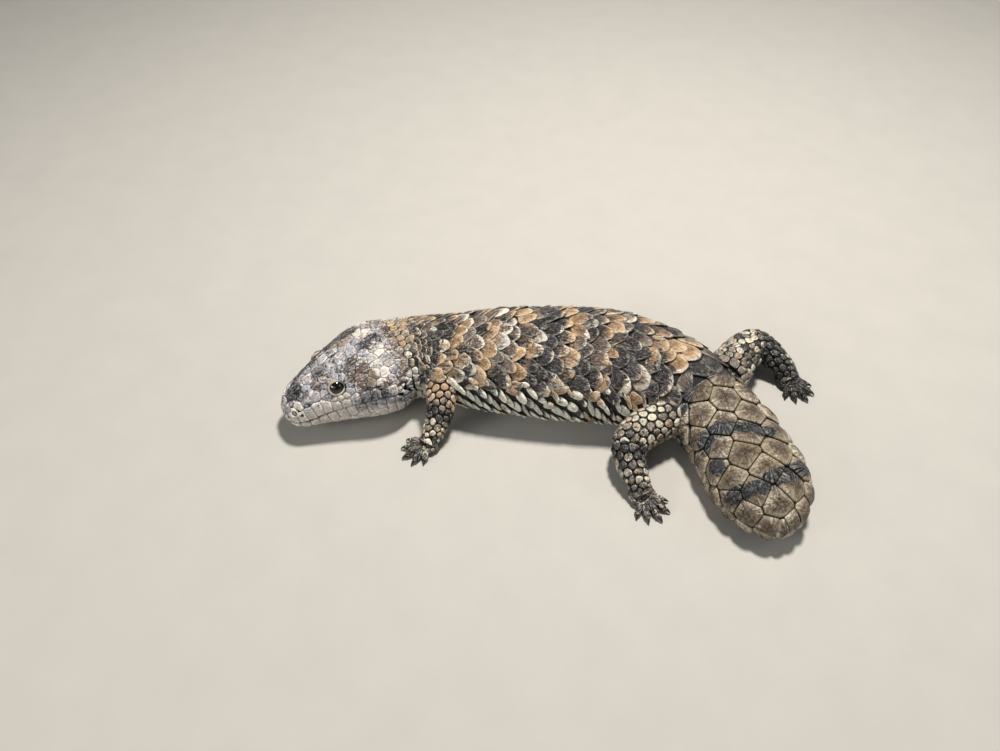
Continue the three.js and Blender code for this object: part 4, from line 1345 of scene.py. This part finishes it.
def shield_spacing(forward, degrees):
    """Larger shields in the middle of the head and under the chin, smaller ones on the temples."""
    spacing = np.interp(forward, [0, 8, 16, 30, 50, 67], [3.7, 4.0, 5.6, 5.6, 5.0, 4.4])
    if degrees > 115:
        spacing *= 1.15
    return spacing * (0.82 if abs(degrees - 60) < 18 and 20 < forward < 34 else 1.0)


half_seeds = scatter(head_point, (1, 66), (0, 180), shield_spacing, 5, fixed, near_lines)
print("seeds on half of the head:", len(half_seeds))

# %% Lay the shields on both halves
whole = [(place, 1) for place in half_seeds]
whole += [(place, -1) for place in half_seeds if 2 < place[1] < 178]
drop = {tuple(fixed[number]) for number in skipped}
seed_points = np.array([head_point(place[0], side * place[1]) for place, side in whole])
holes = [number for number, (place, _) in enumerate(whole) if tuple(place) in drop]


def mirrored(points):
    """The same points on the other side of the head."""
    plan = points[:, :2] - NAPE
    left = plan @ head_left
    return np.column_stack([points[:, :2] - 2 * left[:, None] * head_left, points[:, 2]])


all_lines = [*lines, *[(mirrored(line), gap) for line, gap in lines]]
brow = on_surface([eye_middle + tall_out * math.copysign(7.0, tall_out[2])])
brows = np.vstack([brow, mirrored(brow)])


def shield_rings(centre, size):
    """A low dome, raised to a brow over each eye and plumper on the cheeks and lips."""
    off = centre - brows
    along = (off @ forward_way)[:, None] * forward_way
    ridge = 1.3 * float(smoothstep(6.5, 2, np.linalg.norm(off - 0.5 * along, axis=1).min()))
    plump = 0.2 if abs(float(on_head(centre[None])[1][0])) > 52 else 0.0
    return [
        (0, ridge, 0.93), (0.16, ridge + 0.2, 0.84), (0.7, ridge + 0.34 + 0.7 * plump, 0.55),
        (0.55 * size, ridge + 0.45 + plump, 0.2),
    ], -1.6


def under_shingles(points):
    """True where the back's shingles already cover the neck."""
    distance, degrees = on_trunk(points)
    return (distance > 12) & (np.abs(degrees) < 50)


neck_seeds = scatter(
    trunk_point, (0.5, 27), (-180, 180),
    lambda distance, degrees: np.interp(distance, [0, 10, 27], [3.5, 3.9, 5.0]),
    seed=15, rejected=lambda points: clear_of_legs(points) < -0.5,
)
neck_points = trunk_point(neck_seeds[:, 0], neck_seeds[:, 1])
edge_seeds = neck_points[neck_seeds[:, 0] < 8]
head = Coat()
head_ways = dict(
    ahead_of=lambda centre: -forward_way,
    marks_of=lambda points: head_marks(*on_head(points)),
    flat_of=lambda points: map_place("head", *on_head(points)),
)
pave(
    head, head_tree, np.vstack([seed_points, edge_seeds]), **head_ways,
    rings_of=shield_rings, limits=all_lines,
    skip=[*holes, *range(len(seed_points), len(seed_points) + len(edge_seeds))],
    style=dict(seed=6, gap=0.06, spread=0.45, reach=9.0, finer=1, tilt=0.12),
)
nostrils = np.array([head_point(NOSTRIL[0], side * NOSTRIL[1]) for side in (1, -1)])
pave(
    head, head_tree, nostrils, **head_ways,
    rings_of=lambda centre, size: ([
        (0, 0.0, 0.9), (0.2, 0.35, 0.75), (-2.4, 0.65, 0.4, 0.3), (-1.3, 0.6, 0.5, 0.8),
        (-1.1, 0.1, 1, 0.8), (-0.9, -1.5, 1, 0.8),
    ], -1.9),
    style=dict(seed=7, gap=0, spread=0.1, reach=5.6, finer=2),
)
head.made("head_shields", head_paint)

# %% [markdown]
# ## The neck
# Behind the head the shields turn into small pebbles that grow towards the shoulders, where the
# shingles begin. It is the same paving on the trunk's surface. The last shields of the head and the
# first pebbles bound each other, so they meet in one thin seam.

# %% Neck
def rearward(centre):
    """The way to the tail's tip along the body."""
    distance, degrees = (value[0] for value in on_trunk(centre[None]))
    return trunk_point(min(distance + 1, TRUNK_LENGTH - 0.2), degrees) - trunk_point(distance - 1, degrees)


def pebble_rings(centre, size):
    """A round-topped pebble, the same at every place."""
    return [(0, -0.1, 0.94), (0.2, 0.3, 0.84), (0.9, 0.6, 0.5), (0.6 * size, 0.75, 0.2)], -1.4


trunk_tree = surface_of(trunk_point, 260, 120, (-2, TRUNK_LENGTH - 0.05))
neck = Coat()
head_edge = seed_points[on_head(seed_points)[0] < 8]
trunk_ways = dict(
    ahead_of=rearward,
    marks_of=lambda points: trunk_marks(*on_trunk(points)),
    flat_of=lambda points: map_place("trunk", *on_trunk(points)),
)
pave(
    neck, trunk_tree, np.vstack([neck_points, head_edge]), **trunk_ways,
    rings_of=pebble_rings,
    skip=[
        *np.where(under_shingles(neck_points))[0],
        *range(len(neck_points), len(neck_points) + len(head_edge)),
    ],
    style=dict(seed=16, gap=0.04, spread=0.75, reach=9.5, tilt=0.5, finer=1),
)
neck.made("neck_pebbles", flank_paint, level=1)

# %% [markdown]
# ## The pine-cone tail
# The tail's plates are the largest on the animal: broad many-sided shields, each a little swollen,
# that meet in thin dark seams and get smaller towards the blunt tip. The paving makes these too, from
# seeds that stand in rings, every second ring shifted by half a plate. Each plate is tilted a
# little towards the tip, and its top swells in two steps, so that light runs round it.

# %% Tail plates
tail_start = NECK_LENGTH + TORSO_LENGTH
TAIL_RINGS, TAIL_AROUND = 9, (9, 9, 9, 9, 9, 8, 8, 6, 4)
tail_length = TRUNK_LENGTH - tail_start
rng = np.random.default_rng(41)
tail_seeds = []
for ring, around in enumerate(TAIL_AROUND):
    middle = tail_start + tail_length * (1 - (1 - (ring + 0.45) / TAIL_RINGS) ** 1.28)
    for number in range(around):
        turn = (number + 0.5 * (1 - ring % 2)) / around * 2 * math.pi
        degrees = math.degrees(turn + 0.08 * math.sin(turn)) + 3.5 * rng.normal()
        tail_seeds.append((middle + 0.7 * rng.normal(), (degrees + 180) % 360 - 180))
tail_seeds = np.array([*tail_seeds, (TRUNK_LENGTH - 0.6, 20)])
tail_points = trunk_point(tail_seeds[:, 0], tail_seeds[:, 1])
round_root = np.linspace(-180, 180, 121)
root_line = trunk_point(tail_start + 3.2 - 5.7 * smoothstep(48, 72, np.abs(round_root)), round_root)


def tail_rings(centre, size):
    """A plate that swells in steps, lower where it lies against a leg's root."""
    stand = 0.4 + 0.6 * float(smoothstep(0, 6, clear_of_legs(centre)))
    knob = 0.25 * float(smoothstep(4, 8, size))
    return [
        (0, -0.75 * stand, 1), (0.2, -0.2 * stand, 0.9), (0.22 * size, 0.65 * stand, 0.6),
        (0.45 * size, (1.15 + knob) * stand, 0.35), (0.7 * size, (1.35 + 1.5 * knob) * stand, 0.12),
    ], -1.5


tail = Coat()
pave(
    tail, trunk_tree, tail_points, **trunk_ways,
    rings_of=tail_rings, limits=[(root_line, 0.1)],
    style=dict(seed=42, gap=-0.1, spread=0.5, reach=30, tilt=0.6, finer=4, fan=True),
)
tail.made("tail_plates", tail_paint, level=1)

# %% [markdown]
# ## Pebbles on the legs
# Legs carry no shingles: their skin is paved with small round pebbles. The same
# paving does it, with smaller cells and rounder tops, and the seeds simply spread over each leg.

# %% Legs
def off_trunk(points):
    """Roughly how far points are outside the trunk, negative inside it."""
    distance, _ = on_trunk(points)
    origin, across, (half, low, level, high), _ = trunk_at(distance)
    off = points[:, :2] - origin
    out = (off * across).sum(-1)
    up = share_up(points, low, level, high, 1)
    past = np.linalg.norm(off - across * out[:, None], axis=1)
    return (np.hypot(out / np.maximum(half, 1), up) - 1) * 20 + past


def leg_rings(centre, size):
    return [(0, -0.3, 0.95), (0.25, 0.2, 0.84), (0.8, 0.45, 0.5), (0.6 * size, 0.58, 0.2)], -1.3


for number, leg in enumerate(LEGS):
    def this_leg(share, degrees, leg=leg):
        return leg_point(leg, share, degrees)

    spacings = [4.7, 4.1, 3.0] if leg.startswith("hind") else [4.3, 3.7, 3.0]
    seeds = scatter(
        this_leg, (0.03, 0.97), (-180, 180), lambda share, degrees: np.interp(share, [0, 0.5, 1], spacings),
        seed=50 + number, rejected=lambda points: (points[:, 2] < 0.8) | (off_trunk(points) < -2.5),
    )
    tree = surface_of(this_leg, 60, 40)
    path = curve_through(LEGS[leg]["joints"], even=False)

    def along_leg(centre, path=path):
        share = float(on_leg(leg, centre[None])[0][0])
        return path(min(share * 3 + 0.05, 3)) - path(max(share * 3 - 0.05, 0))

    pebbles = Coat()
    pave(
        pebbles, tree, this_leg(seeds[:, 0], seeds[:, 1]), along_leg,
        marks_of=lambda points, leg=leg: leg_marks(leg, *on_leg(leg, points)),
        flat_of=lambda points, leg=leg: map_place(leg + "_leg", *on_leg(leg, points)),
        rings_of=leg_rings, style=dict(seed=60 + number, gap=0.12, spread=0.8, reach=7.5, tilt=0.4),
    )
    pebbles.made(leg + "_pebbles", leg_paint, level=1)

# %% [markdown]
# ## Feet
# The palm is paved like the leg. Along the top of each toe runs a row of narrow plates, which are the
# shingle's plate once more, bent round a tube about four millimetres thick, and a claw ends it.

# %% Palms, toes and claws
def foot_marks(leg):
    tint = {"hind_right": (1, 0, 0)}.get(leg, (0.55, 0.1, 0.3))
    return lambda *place: np.zeros((*np.shape(place[0]), 3)) + tint


PALM_FLAT = 0.64  # height of a palm's scaled top, as a share of its radius
TOE_PITCH = 1.9  # from one ring of a toe's scales to the next
CLAW_CURVE = ((0, 1.75), (1.5, 2.1), (2.8, 1.6), (3.8, 0.45))  # ahead of the toe's tip, and up
claw_paint = horn(
    "claw_horn", plain=("1d1a18", "2a2521"), warm=("3a2f26", "3a2f26"), pale=("4a4036", "4a4036"),
    dark=("0f0e0d", "151312"), rim=("2a2521", 0.2), core=("0f0e0d", 0.3), frost_and_glint=("4a4036", 0.2),
    broken=(0.3, 0.4, 0.3, 0.13), gloss=0.32, relief=0.15,
)
for number, (leg, foot) in enumerate(LEGS.items()):
    scales = Coat()
    sole = np.array([*foot["joints"][-1][:2], PALM_LEVEL])

    def palm_point(share, degrees, sole=sole, foot=foot):
        share, degrees = np.broadcast_arrays(np.asarray(share, float), degrees)
        tilt, turn = share * math.radians(100), np.radians(degrees)
        radius = foot["palm"] * 0.98
        east, north = radius * np.sin(tilt) * np.cos(turn), radius * np.sin(tilt) * np.sin(turn)
        return sole + np.stack([east, north, PALM_FLAT * radius * np.cos(tilt)], -1)

    tree = surface_of(palm_point, 24, 36, (0.001, 1))
    seeds = scatter(palm_point, (0.02, 0.98), (-180, 180), lambda share, degrees: 2.7, seed=70 + number)
    pave(
        scales, tree, palm_point(seeds[:, 0], seeds[:, 1]), lambda centre: np.array([1.0, 0.1, 0]),
        marks_of=lambda points: foot_marks(leg)(points[:, 0]),
        flat_of=lambda points, leg=leg: map_place(leg + "_top", *on_foot(leg, points)),
        rings_of=lambda centre, size: ([(0, -0.3, 0.95), (0.3, 0.2, 0.84), (0.8, 0.4, 0.4)], -0.9),
        style=dict(seed=80 + number, gap=0.25, spread=0.6, reach=5.0),
    )
    claws = bmesh.new()
    for toe in range(5):
        joints, radii, ahead = toe_path(leg, toe)
        length = float(np.linalg.norm(np.array(joints[-1]) - joints[0]))

        def toe_point(at, degrees, raised=0.0, joints=joints, radii=radii, length=length):
            return tube_point(joints, radii, np.clip(at / length, 0, 1), degrees, raised)

        def on_toe_map(at, degrees, leg=leg, toe_point=toe_point):
            return map_place(leg + "_top", *on_foot(leg, toe_point(at, degrees)[:, 0]))[:, None]

        places = []
        for ring in range(round(length / TOE_PITCH)):
            for k in range(4):
                turn = -105 + 70 * (k + 0.5 * (ring % 2))
                places.append([TOE_PITCH * (ring + 0.5), turn, 1.25, 38, 1, 0])
        lay_scales(
            scales, small_plate, toe_point, foot_marks(leg), on_toe_map, np.array(places),
            dict(seed=90 + toe, round=0.5, point=0.2, swept=0.2, lift=(-0.5, 0.35), ramp=0.8, dome=0.25,
                 thick=0.5, knob=0.03, keel=0.0, spread=0.6),
        )
        tip = np.array([*joints[-1][:2], 0]) - 1.0 * np.array([*ahead, 0])
        hook = [tip + np.array([*(ahead * reach), level]) for reach, level in CLAW_CURVE]

        def claw_point(share, degrees, hook=hook):
            solid = tube_point(hook, [1.0, 0.85, 0.5, 0.14], share, degrees)
            middle = tube_point(hook, [0.001] * 4, share, degrees)
            return towards(middle, solid, closed_ends(share, 0.04, 0.04))

        wrapped(claws, 12, 12, claw_point)
    scales.made(leg + "_foot_scales", leg_paint)
    bmesh.ops.recalc_face_normals(claws, faces=claws.faces)
    mesh = smooth_mesh(claws, leg + "_claws")
    mesh.materials.append(claw_paint)
    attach(new_object(leg + "_claws", mesh), "root")

# %% [markdown]
# ## Eyes and lids
# The eye is a wet ball sunk in the head, so dark that it reads as black, with a brown iris round its
# pupil. Only a cap of it shows, inside a pale lid that is a soft ring of tiny scales. The ball is a
# sphere with a slight bulge in front, and the lid is a profile spun round the line of sight.

# %% Eyeballs
def eye_paint():
    paint = Paint("wet_eye")
    angle, turn, _ = paint.parts(paint.attribute("gaze")["Vector"])
    spokes = paint.node("CombineXYZ", {0: paint.times(turn, 9.0), 1: angle}).outputs[0]
    rays = paint.noise(spokes, 3.0, 3.0)
    iris = paint.mix(rays, tone("060403"), tone("110a06"))
    inside = paint.step(0.36, 0.31, angle)
    outside = paint.step(0.56, 0.66, angle)
    colour = paint.mix(inside, iris, tone("020202"))
    paint.feed(paint.shader.inputs["Base Color"], paint.mix(outside, colour, tone("070605")))
    paint.shader.inputs["Roughness"].default_value = 0.08
    paint.shader.inputs["Coat Weight"].default_value = 0.4
    paint.shader.inputs["Coat Roughness"].default_value = 0.03
    return paint.material


wet_eye = eye_paint()
for name, side in (("eye_left", 1), ("eye_right", -1)):
    looks, long_way = (vector @ frame_turn for vector in look_of(side))
    ball = bmesh.new()
    bmesh.ops.create_uvsphere(ball, u_segments=48, v_segments=32, radius=EYE_RADIUS)
    turn = Matrix(np.column_stack([long_way, np.cross(looks, long_way), looks]).tolist())
    bmesh.ops.rotate(ball, cent=(0, 0, 0), matrix=turn, verts=ball.verts)
    centre = from_head(eye_centre(side))
    gaze = []
    for vertex in ball.verts:
        out = np.array(vertex.co) / EYE_RADIUS
        angle = math.acos(max(-1, min(1, out @ looks)))
        gaze.append((angle, math.atan2(out @ np.cross(looks, long_way), out @ long_way), 0))
        bulge = 0.18 * float(smoothstep(0.7, 0.2, angle))
        vertex.co = Vector(metres(centre + out * (EYE_RADIUS + bulge)))
    mesh = smooth_mesh(ball, name + "_ball")
    store(mesh, "gaze", "FLOAT_VECTOR", gaze)
    mesh.materials.append(wet_eye)
    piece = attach(new_object(name + "_ball", mesh), "root")
    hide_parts(name)

# %% Lids
lid_paint = horn(
    "lid_skin", plain=("b8ae98", "a49a86"), warm=("a08870", "a08870"), pale=("d6cdb8", "c9bfa8"),
    dark=("2a2826", "2a2826"), rim=("d9d2c0", 0.2), core=("9a8f7c", 0.2), frost_and_glint=("e4dfd0", 0.2),
    broken=(0.1, 0.5, 0.3, 0.13), gloss=0.42, relief=0.3,
)
# The lid's profile: how far each point is from the line of sight, and how far out along it.
LID_PROFILE = [
    (3.05, 3.3), (3.1, 3.5), (3.27, 3.66), (3.5, 3.7), (3.78, 3.52),
    (4.05, 3.15), (4.25, 2.6), (3.9, 2.2), (3.15, 2.8),
]
LID_LONG, LID_TALL = 3.5, 2.9  # half the length and half the height of its opening
for name, side in (("eyelid_left", 1), ("eyelid_right", -1)):
    looks, long_way = (vector @ frame_turn for vector in look_of(side))
    tall_way = np.cross(looks, long_way)
    lid = bmesh.new()
    profile = [lid.verts.new((radius, 0, height)) for radius, height in LID_PROFILE]
    loop = [lid.edges.new((one, other)) for one, other in zip(profile, profile[1:] + profile[:1])]
    bmesh.ops.spin(
        lid, geom=profile + loop, cent=(0, 0, 0), axis=(0, 0, 1), angle=2 * math.pi, steps=72, use_merge=True
    )
    bmesh.ops.remove_doubles(lid, verts=lid.verts, dist=1e-4)
    grain = []
    centre = from_head(eye_centre(side))
    up_sign = 1 if tall_way[2] > 0 else -1
    for vertex in lid.verts:
        x, y, z = vertex.co
        radius, angle = math.hypot(x, y), math.atan2(y, x)
        inner = 1 / math.hypot(math.cos(angle) / LID_LONG, math.sin(angle) / LID_TALL)
        stretch = 1 + (inner / LID_TALL - 1) * float(smoothstep(5.4, LID_TALL, radius))
        sink = math.sqrt(EYE_RADIUS**2 - LID_TALL**2) - math.sqrt(EYE_RADIUS**2 - inner**2)
        lower = max(0.0, -up_sign * math.sin(angle))
        seam = abs(math.sin(9 * angle + 0.5)) ** 0.35
        outer = float(smoothstep(3.3, 4.1, radius))
        lift = 0.12 * (seam - 1) * outer + 0.15 * lower * float(smoothstep(3.0, 3.8, radius))
        radius = radius * stretch * (1 + 0.05 * lower * outer)
        out = long_way * math.cos(angle) + tall_way * math.sin(angle)
        vertex.co = Vector(metres(centre + out * radius + looks * (z - sink + lift)))
        grain.append((radius, angle * 4, 1 - 0.6 * seam if outer > 0.6 else 0.3))
    bmesh.ops.recalc_face_normals(lid, faces=lid.faces)
    mesh = smooth_mesh(lid, name)
    height = np.array([vertex.co.z for vertex in mesh.vertices])
    # Painted shade: the upper part of each lid is painted darker, its lower part paler.
    shaded = smoothstep(0.35, 0.9, (height - height.min()) / np.ptp(height))
    marks = np.column_stack([0.42 * shaded, 0 * shaded, 0.85 - 0.75 * shaded, 0 * shaded + 0.4])
    store(mesh, "marks", "FLOAT_COLOR", marks)
    store(mesh, "grain", "FLOAT_VECTOR", grain)
    patch = map_place("head", *on_head(eye_middle[None] if side > 0 else mirrored(eye_middle[None])))[0]
    turnings = np.array(grain)[:, :2] * [0.0003, 0.0001]
    mesh.uv_layers.new(name="OFBake").data.foreach_set("uv", (patch + turnings)[corners_of(mesh)].ravel())
    mesh.materials.append(lid_paint)
    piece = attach(new_object(name, mesh), "root")

# %% [markdown]
# ## The skin again
# Now that the scales are on, the skin gets its own hollows where the ears, nostrils and mouth are,
# the same markings as the scales, only darker, and its place on the flat map.

# %% Hollows
points = 1000 * np.array([vertex.co for vertex in skin_surface.verts]) - own_origin
normals = np.array([vertex.normal for vertex in skin_surface.verts])
depth = np.zeros(len(points))
for place, size, deep in ((EAR, 2.2, 2.4), (NOSTRIL, 1.4, 1.6)):
    for side in (1, -1):
        away = np.linalg.norm(points - head_point(place[0], side * place[1]), axis=1)
        depth = np.maximum(depth, deep * smoothstep(size, 0.3 * size, away))
for side in (1, -1):
    line = head_point(forwards, side * lip_line(forwards))
    near = np.where(np.linalg.norm(points[:, :2] - NAPE, axis=1) < 75)[0]
    away = np.min(np.linalg.norm(points[near, None] - line[None], axis=-1), 1)
    depth[near] = np.maximum(depth[near], 1.2 * smoothstep(2.0, 0.8, away))
points -= normals * depth[:, None]
for vertex, place in zip(skin_surface.verts, metres(points)):
    vertex.co = place
skin_surface.to_mesh(skin.data)
skin_surface.free()


# %% Which part each face is on
middles = np.empty(3 * len(skin.data.polygons))
skin.data.polygons.foreach_get("center", middles)
middles = 1000 * middles.reshape(-1, 3) - own_origin
forward, _ = on_head(middles)
(half, low, level, high), _ = head_at(np.clip(forward, 0, HEAD_LENGTH - 0.5))
left = np.abs((middles[:, :2] - NAPE) @ head_left) / half
up = share_up(middles, low, level, high)
on_the_head = np.where(forward > 0, (np.hypot(left, up) - 1) * 20, 50 - forward)
excess = [off_trunk(middles), np.where((forward > 0) & (forward < 69), np.abs(on_the_head) - 6, 99)]
names = ["trunk", "head"]
for leg, foot in LEGS.items():
    shares, _ = on_leg(leg, middles)
    centre = curve_through(foot["joints"], even=False)(shares * 3)
    radius = radius_at(foot["radii"], shares * 3)
    excess.append(np.linalg.norm(middles - centre, axis=1) - radius)
    names.append(leg + "_leg")
    ahead, aside = on_foot(leg, middles)
    close = (np.hypot(ahead, aside) < 22) & (middles[:, 2] < 6.5) & (excess[0] > 3)
    close &= (ahead > 3) | (middles[:, 2] < 4)
    excess.append(np.where(close, -20 * (middles[:, 2] > 2.3) - 10, 99))
    names.append(leg + "_top")
    excess.append(np.where(close & (middles[:, 2] <= 2.3), -20, 99))
    names.append(leg + "_sole")
owner = np.argmin(np.array(excess), 0)
print("skin faces by part:", {name: int((owner == k).sum()) for k, name in enumerate(names)})

# %% Markings and flat map of the skin
mesh = skin.data
corners = corners_of(mesh)
starts, totals = np.empty(len(mesh.polygons), int), np.empty(len(mesh.polygons), int)
mesh.polygons.foreach_get("loop_start", starts)
mesh.polygons.foreach_get("loop_total", totals)
face_of = np.repeat(np.arange(len(mesh.polygons)), totals)
flat, marks = np.zeros((len(corners), 2)), np.zeros((len(points), 4))
for k, name in enumerate(names):
    mine = owner[face_of] == k
    used = np.unique(corners[mine])
    if not len(used):
        continue
    body = name.rsplit("_", 1)[0]
    if name == "trunk":
        along, around = on_trunk(points[used])
        marks[used, :3] = trunk_marks(along, around)
    elif name == "head":
        along, around = on_head(points[used])
        marks[used, :3] = head_marks(along, around)
    elif name.endswith("_leg"):
        along, around = on_leg(body, points[used])
        marks[used, :3] = leg_marks(body, along, around)
    else:
        along, around = on_foot(body, points[used])
        marks[used, :3] = foot_marks(body)(along)
    look_up = np.zeros(len(points), int)
    look_up[used] = np.arange(len(used))
    slots = look_up[corners[mine]]
    turned = around[slots]
    if not name.endswith(("_top", "_sole")):
        first = around[look_up[corners[starts[face_of[mine]]]]]
        turned = first + (turned - first + 180) % 360 - 180
    flat[mine] = map_place(name, along[slots], turned)
mesh.uv_layers.new(name="OFBake").data.foreach_set("uv", flat.ravel())
marks[:, 3] = 0.5
store(mesh, "marks", "FLOAT_COLOR", np.clip(marks, 0, 1))
grain = np.column_stack([points[:, 0], points[:, 1] + points[:, 2], np.full(len(points), 0.4)])
store(mesh, "grain", "FLOAT_VECTOR", grain)
skin_paint = horn(
    "dark_skin", plain=("141312", "141312"), warm=("2a1f16", "2a1f16"), pale=("2c2a25", "2c2a25"),
    dark=("0f0f10", "0f0f10"), rim=("2a2622", 0.0), core=("1a1816", 0.2), frost_and_glint=("3a3834", 0.2),
    broken=(0.3, 0.8, 0.3, 0.13), gloss=0.55, relief=1.2,
)
mesh.materials.clear()
mesh.materials.append(skin_paint)
mesh.polygons.foreach_set("use_smooth", [True] * len(mesh.polygons))
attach(skin, "root")
flesh = [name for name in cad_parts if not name.startswith("eye")]
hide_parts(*flesh)
print("the skin stands for", flesh)

# %% [markdown]
# ## Floor and light
# A museum would show the model on a plain pale base. One strong lamp high up behind the model gives
# the silvery sheen that dry scales have in the open, and three weak ones lift the shadows.

# %% Floor, lamps and sky
ground = bmesh.new()
bmesh.ops.create_grid(ground, x_segments=4, y_segments=4, size=6)
mesh = bpy.data.meshes.new("floor")
ground.to_mesh(mesh)
ground.free()
floor = new_object("floor", mesh)
plaster = Paint("pale_floor")
speck = plaster.noise(plaster.node("TexCoord", {}).outputs["Object"], 40.0, 5.0)
plaster.feed(plaster.shader.inputs["Base Color"], plaster.mix(speck, tone("a9a6a0"), tone("b2afa8")))
plaster.shader.inputs["Roughness"].default_value = 0.8
mesh.materials.append(plaster.material)


def lamp(name, place, size, power, colour):
    data = bpy.data.lights.new(name, "AREA")
    data.shape, data.size, data.energy, data.color = "DISK", size, power, colour
    made = bpy.data.objects.new(name, data)
    bpy.context.scene.collection.objects.link(made)
    made.location = place
    made.rotation_euler = (Vector((0, 0, 0.02)) - Vector(place)).to_track_quat("-Z", "Y").to_euler()


lamp("high_lamp", (0.12, 0.28, 0.95), 0.14, 15, (1, 0.96, 0.9))
lamp("front_lamp", (-0.5, -0.9, 0.7), 0.8, 1.8, (0.95, 0.97, 1))
lamp("left_lamp", (-0.85, -0.45, 0.45), 0.4, 3, (1, 0.98, 0.95))
lamp("side_lamp", (0.9, -0.1, 0.6), 0.7, 1.5, (1, 0.98, 0.95))
world = bpy.data.worlds.new("studio")
bpy.context.scene.world = world
world.use_nodes = True
world.node_tree.nodes["Background"].inputs["Color"].default_value = (0.9, 0.93, 1, 1)
world.node_tree.nodes["Background"].inputs["Strength"].default_value = 0.12
bpy.context.scene.view_settings.view_transform = "Standard"
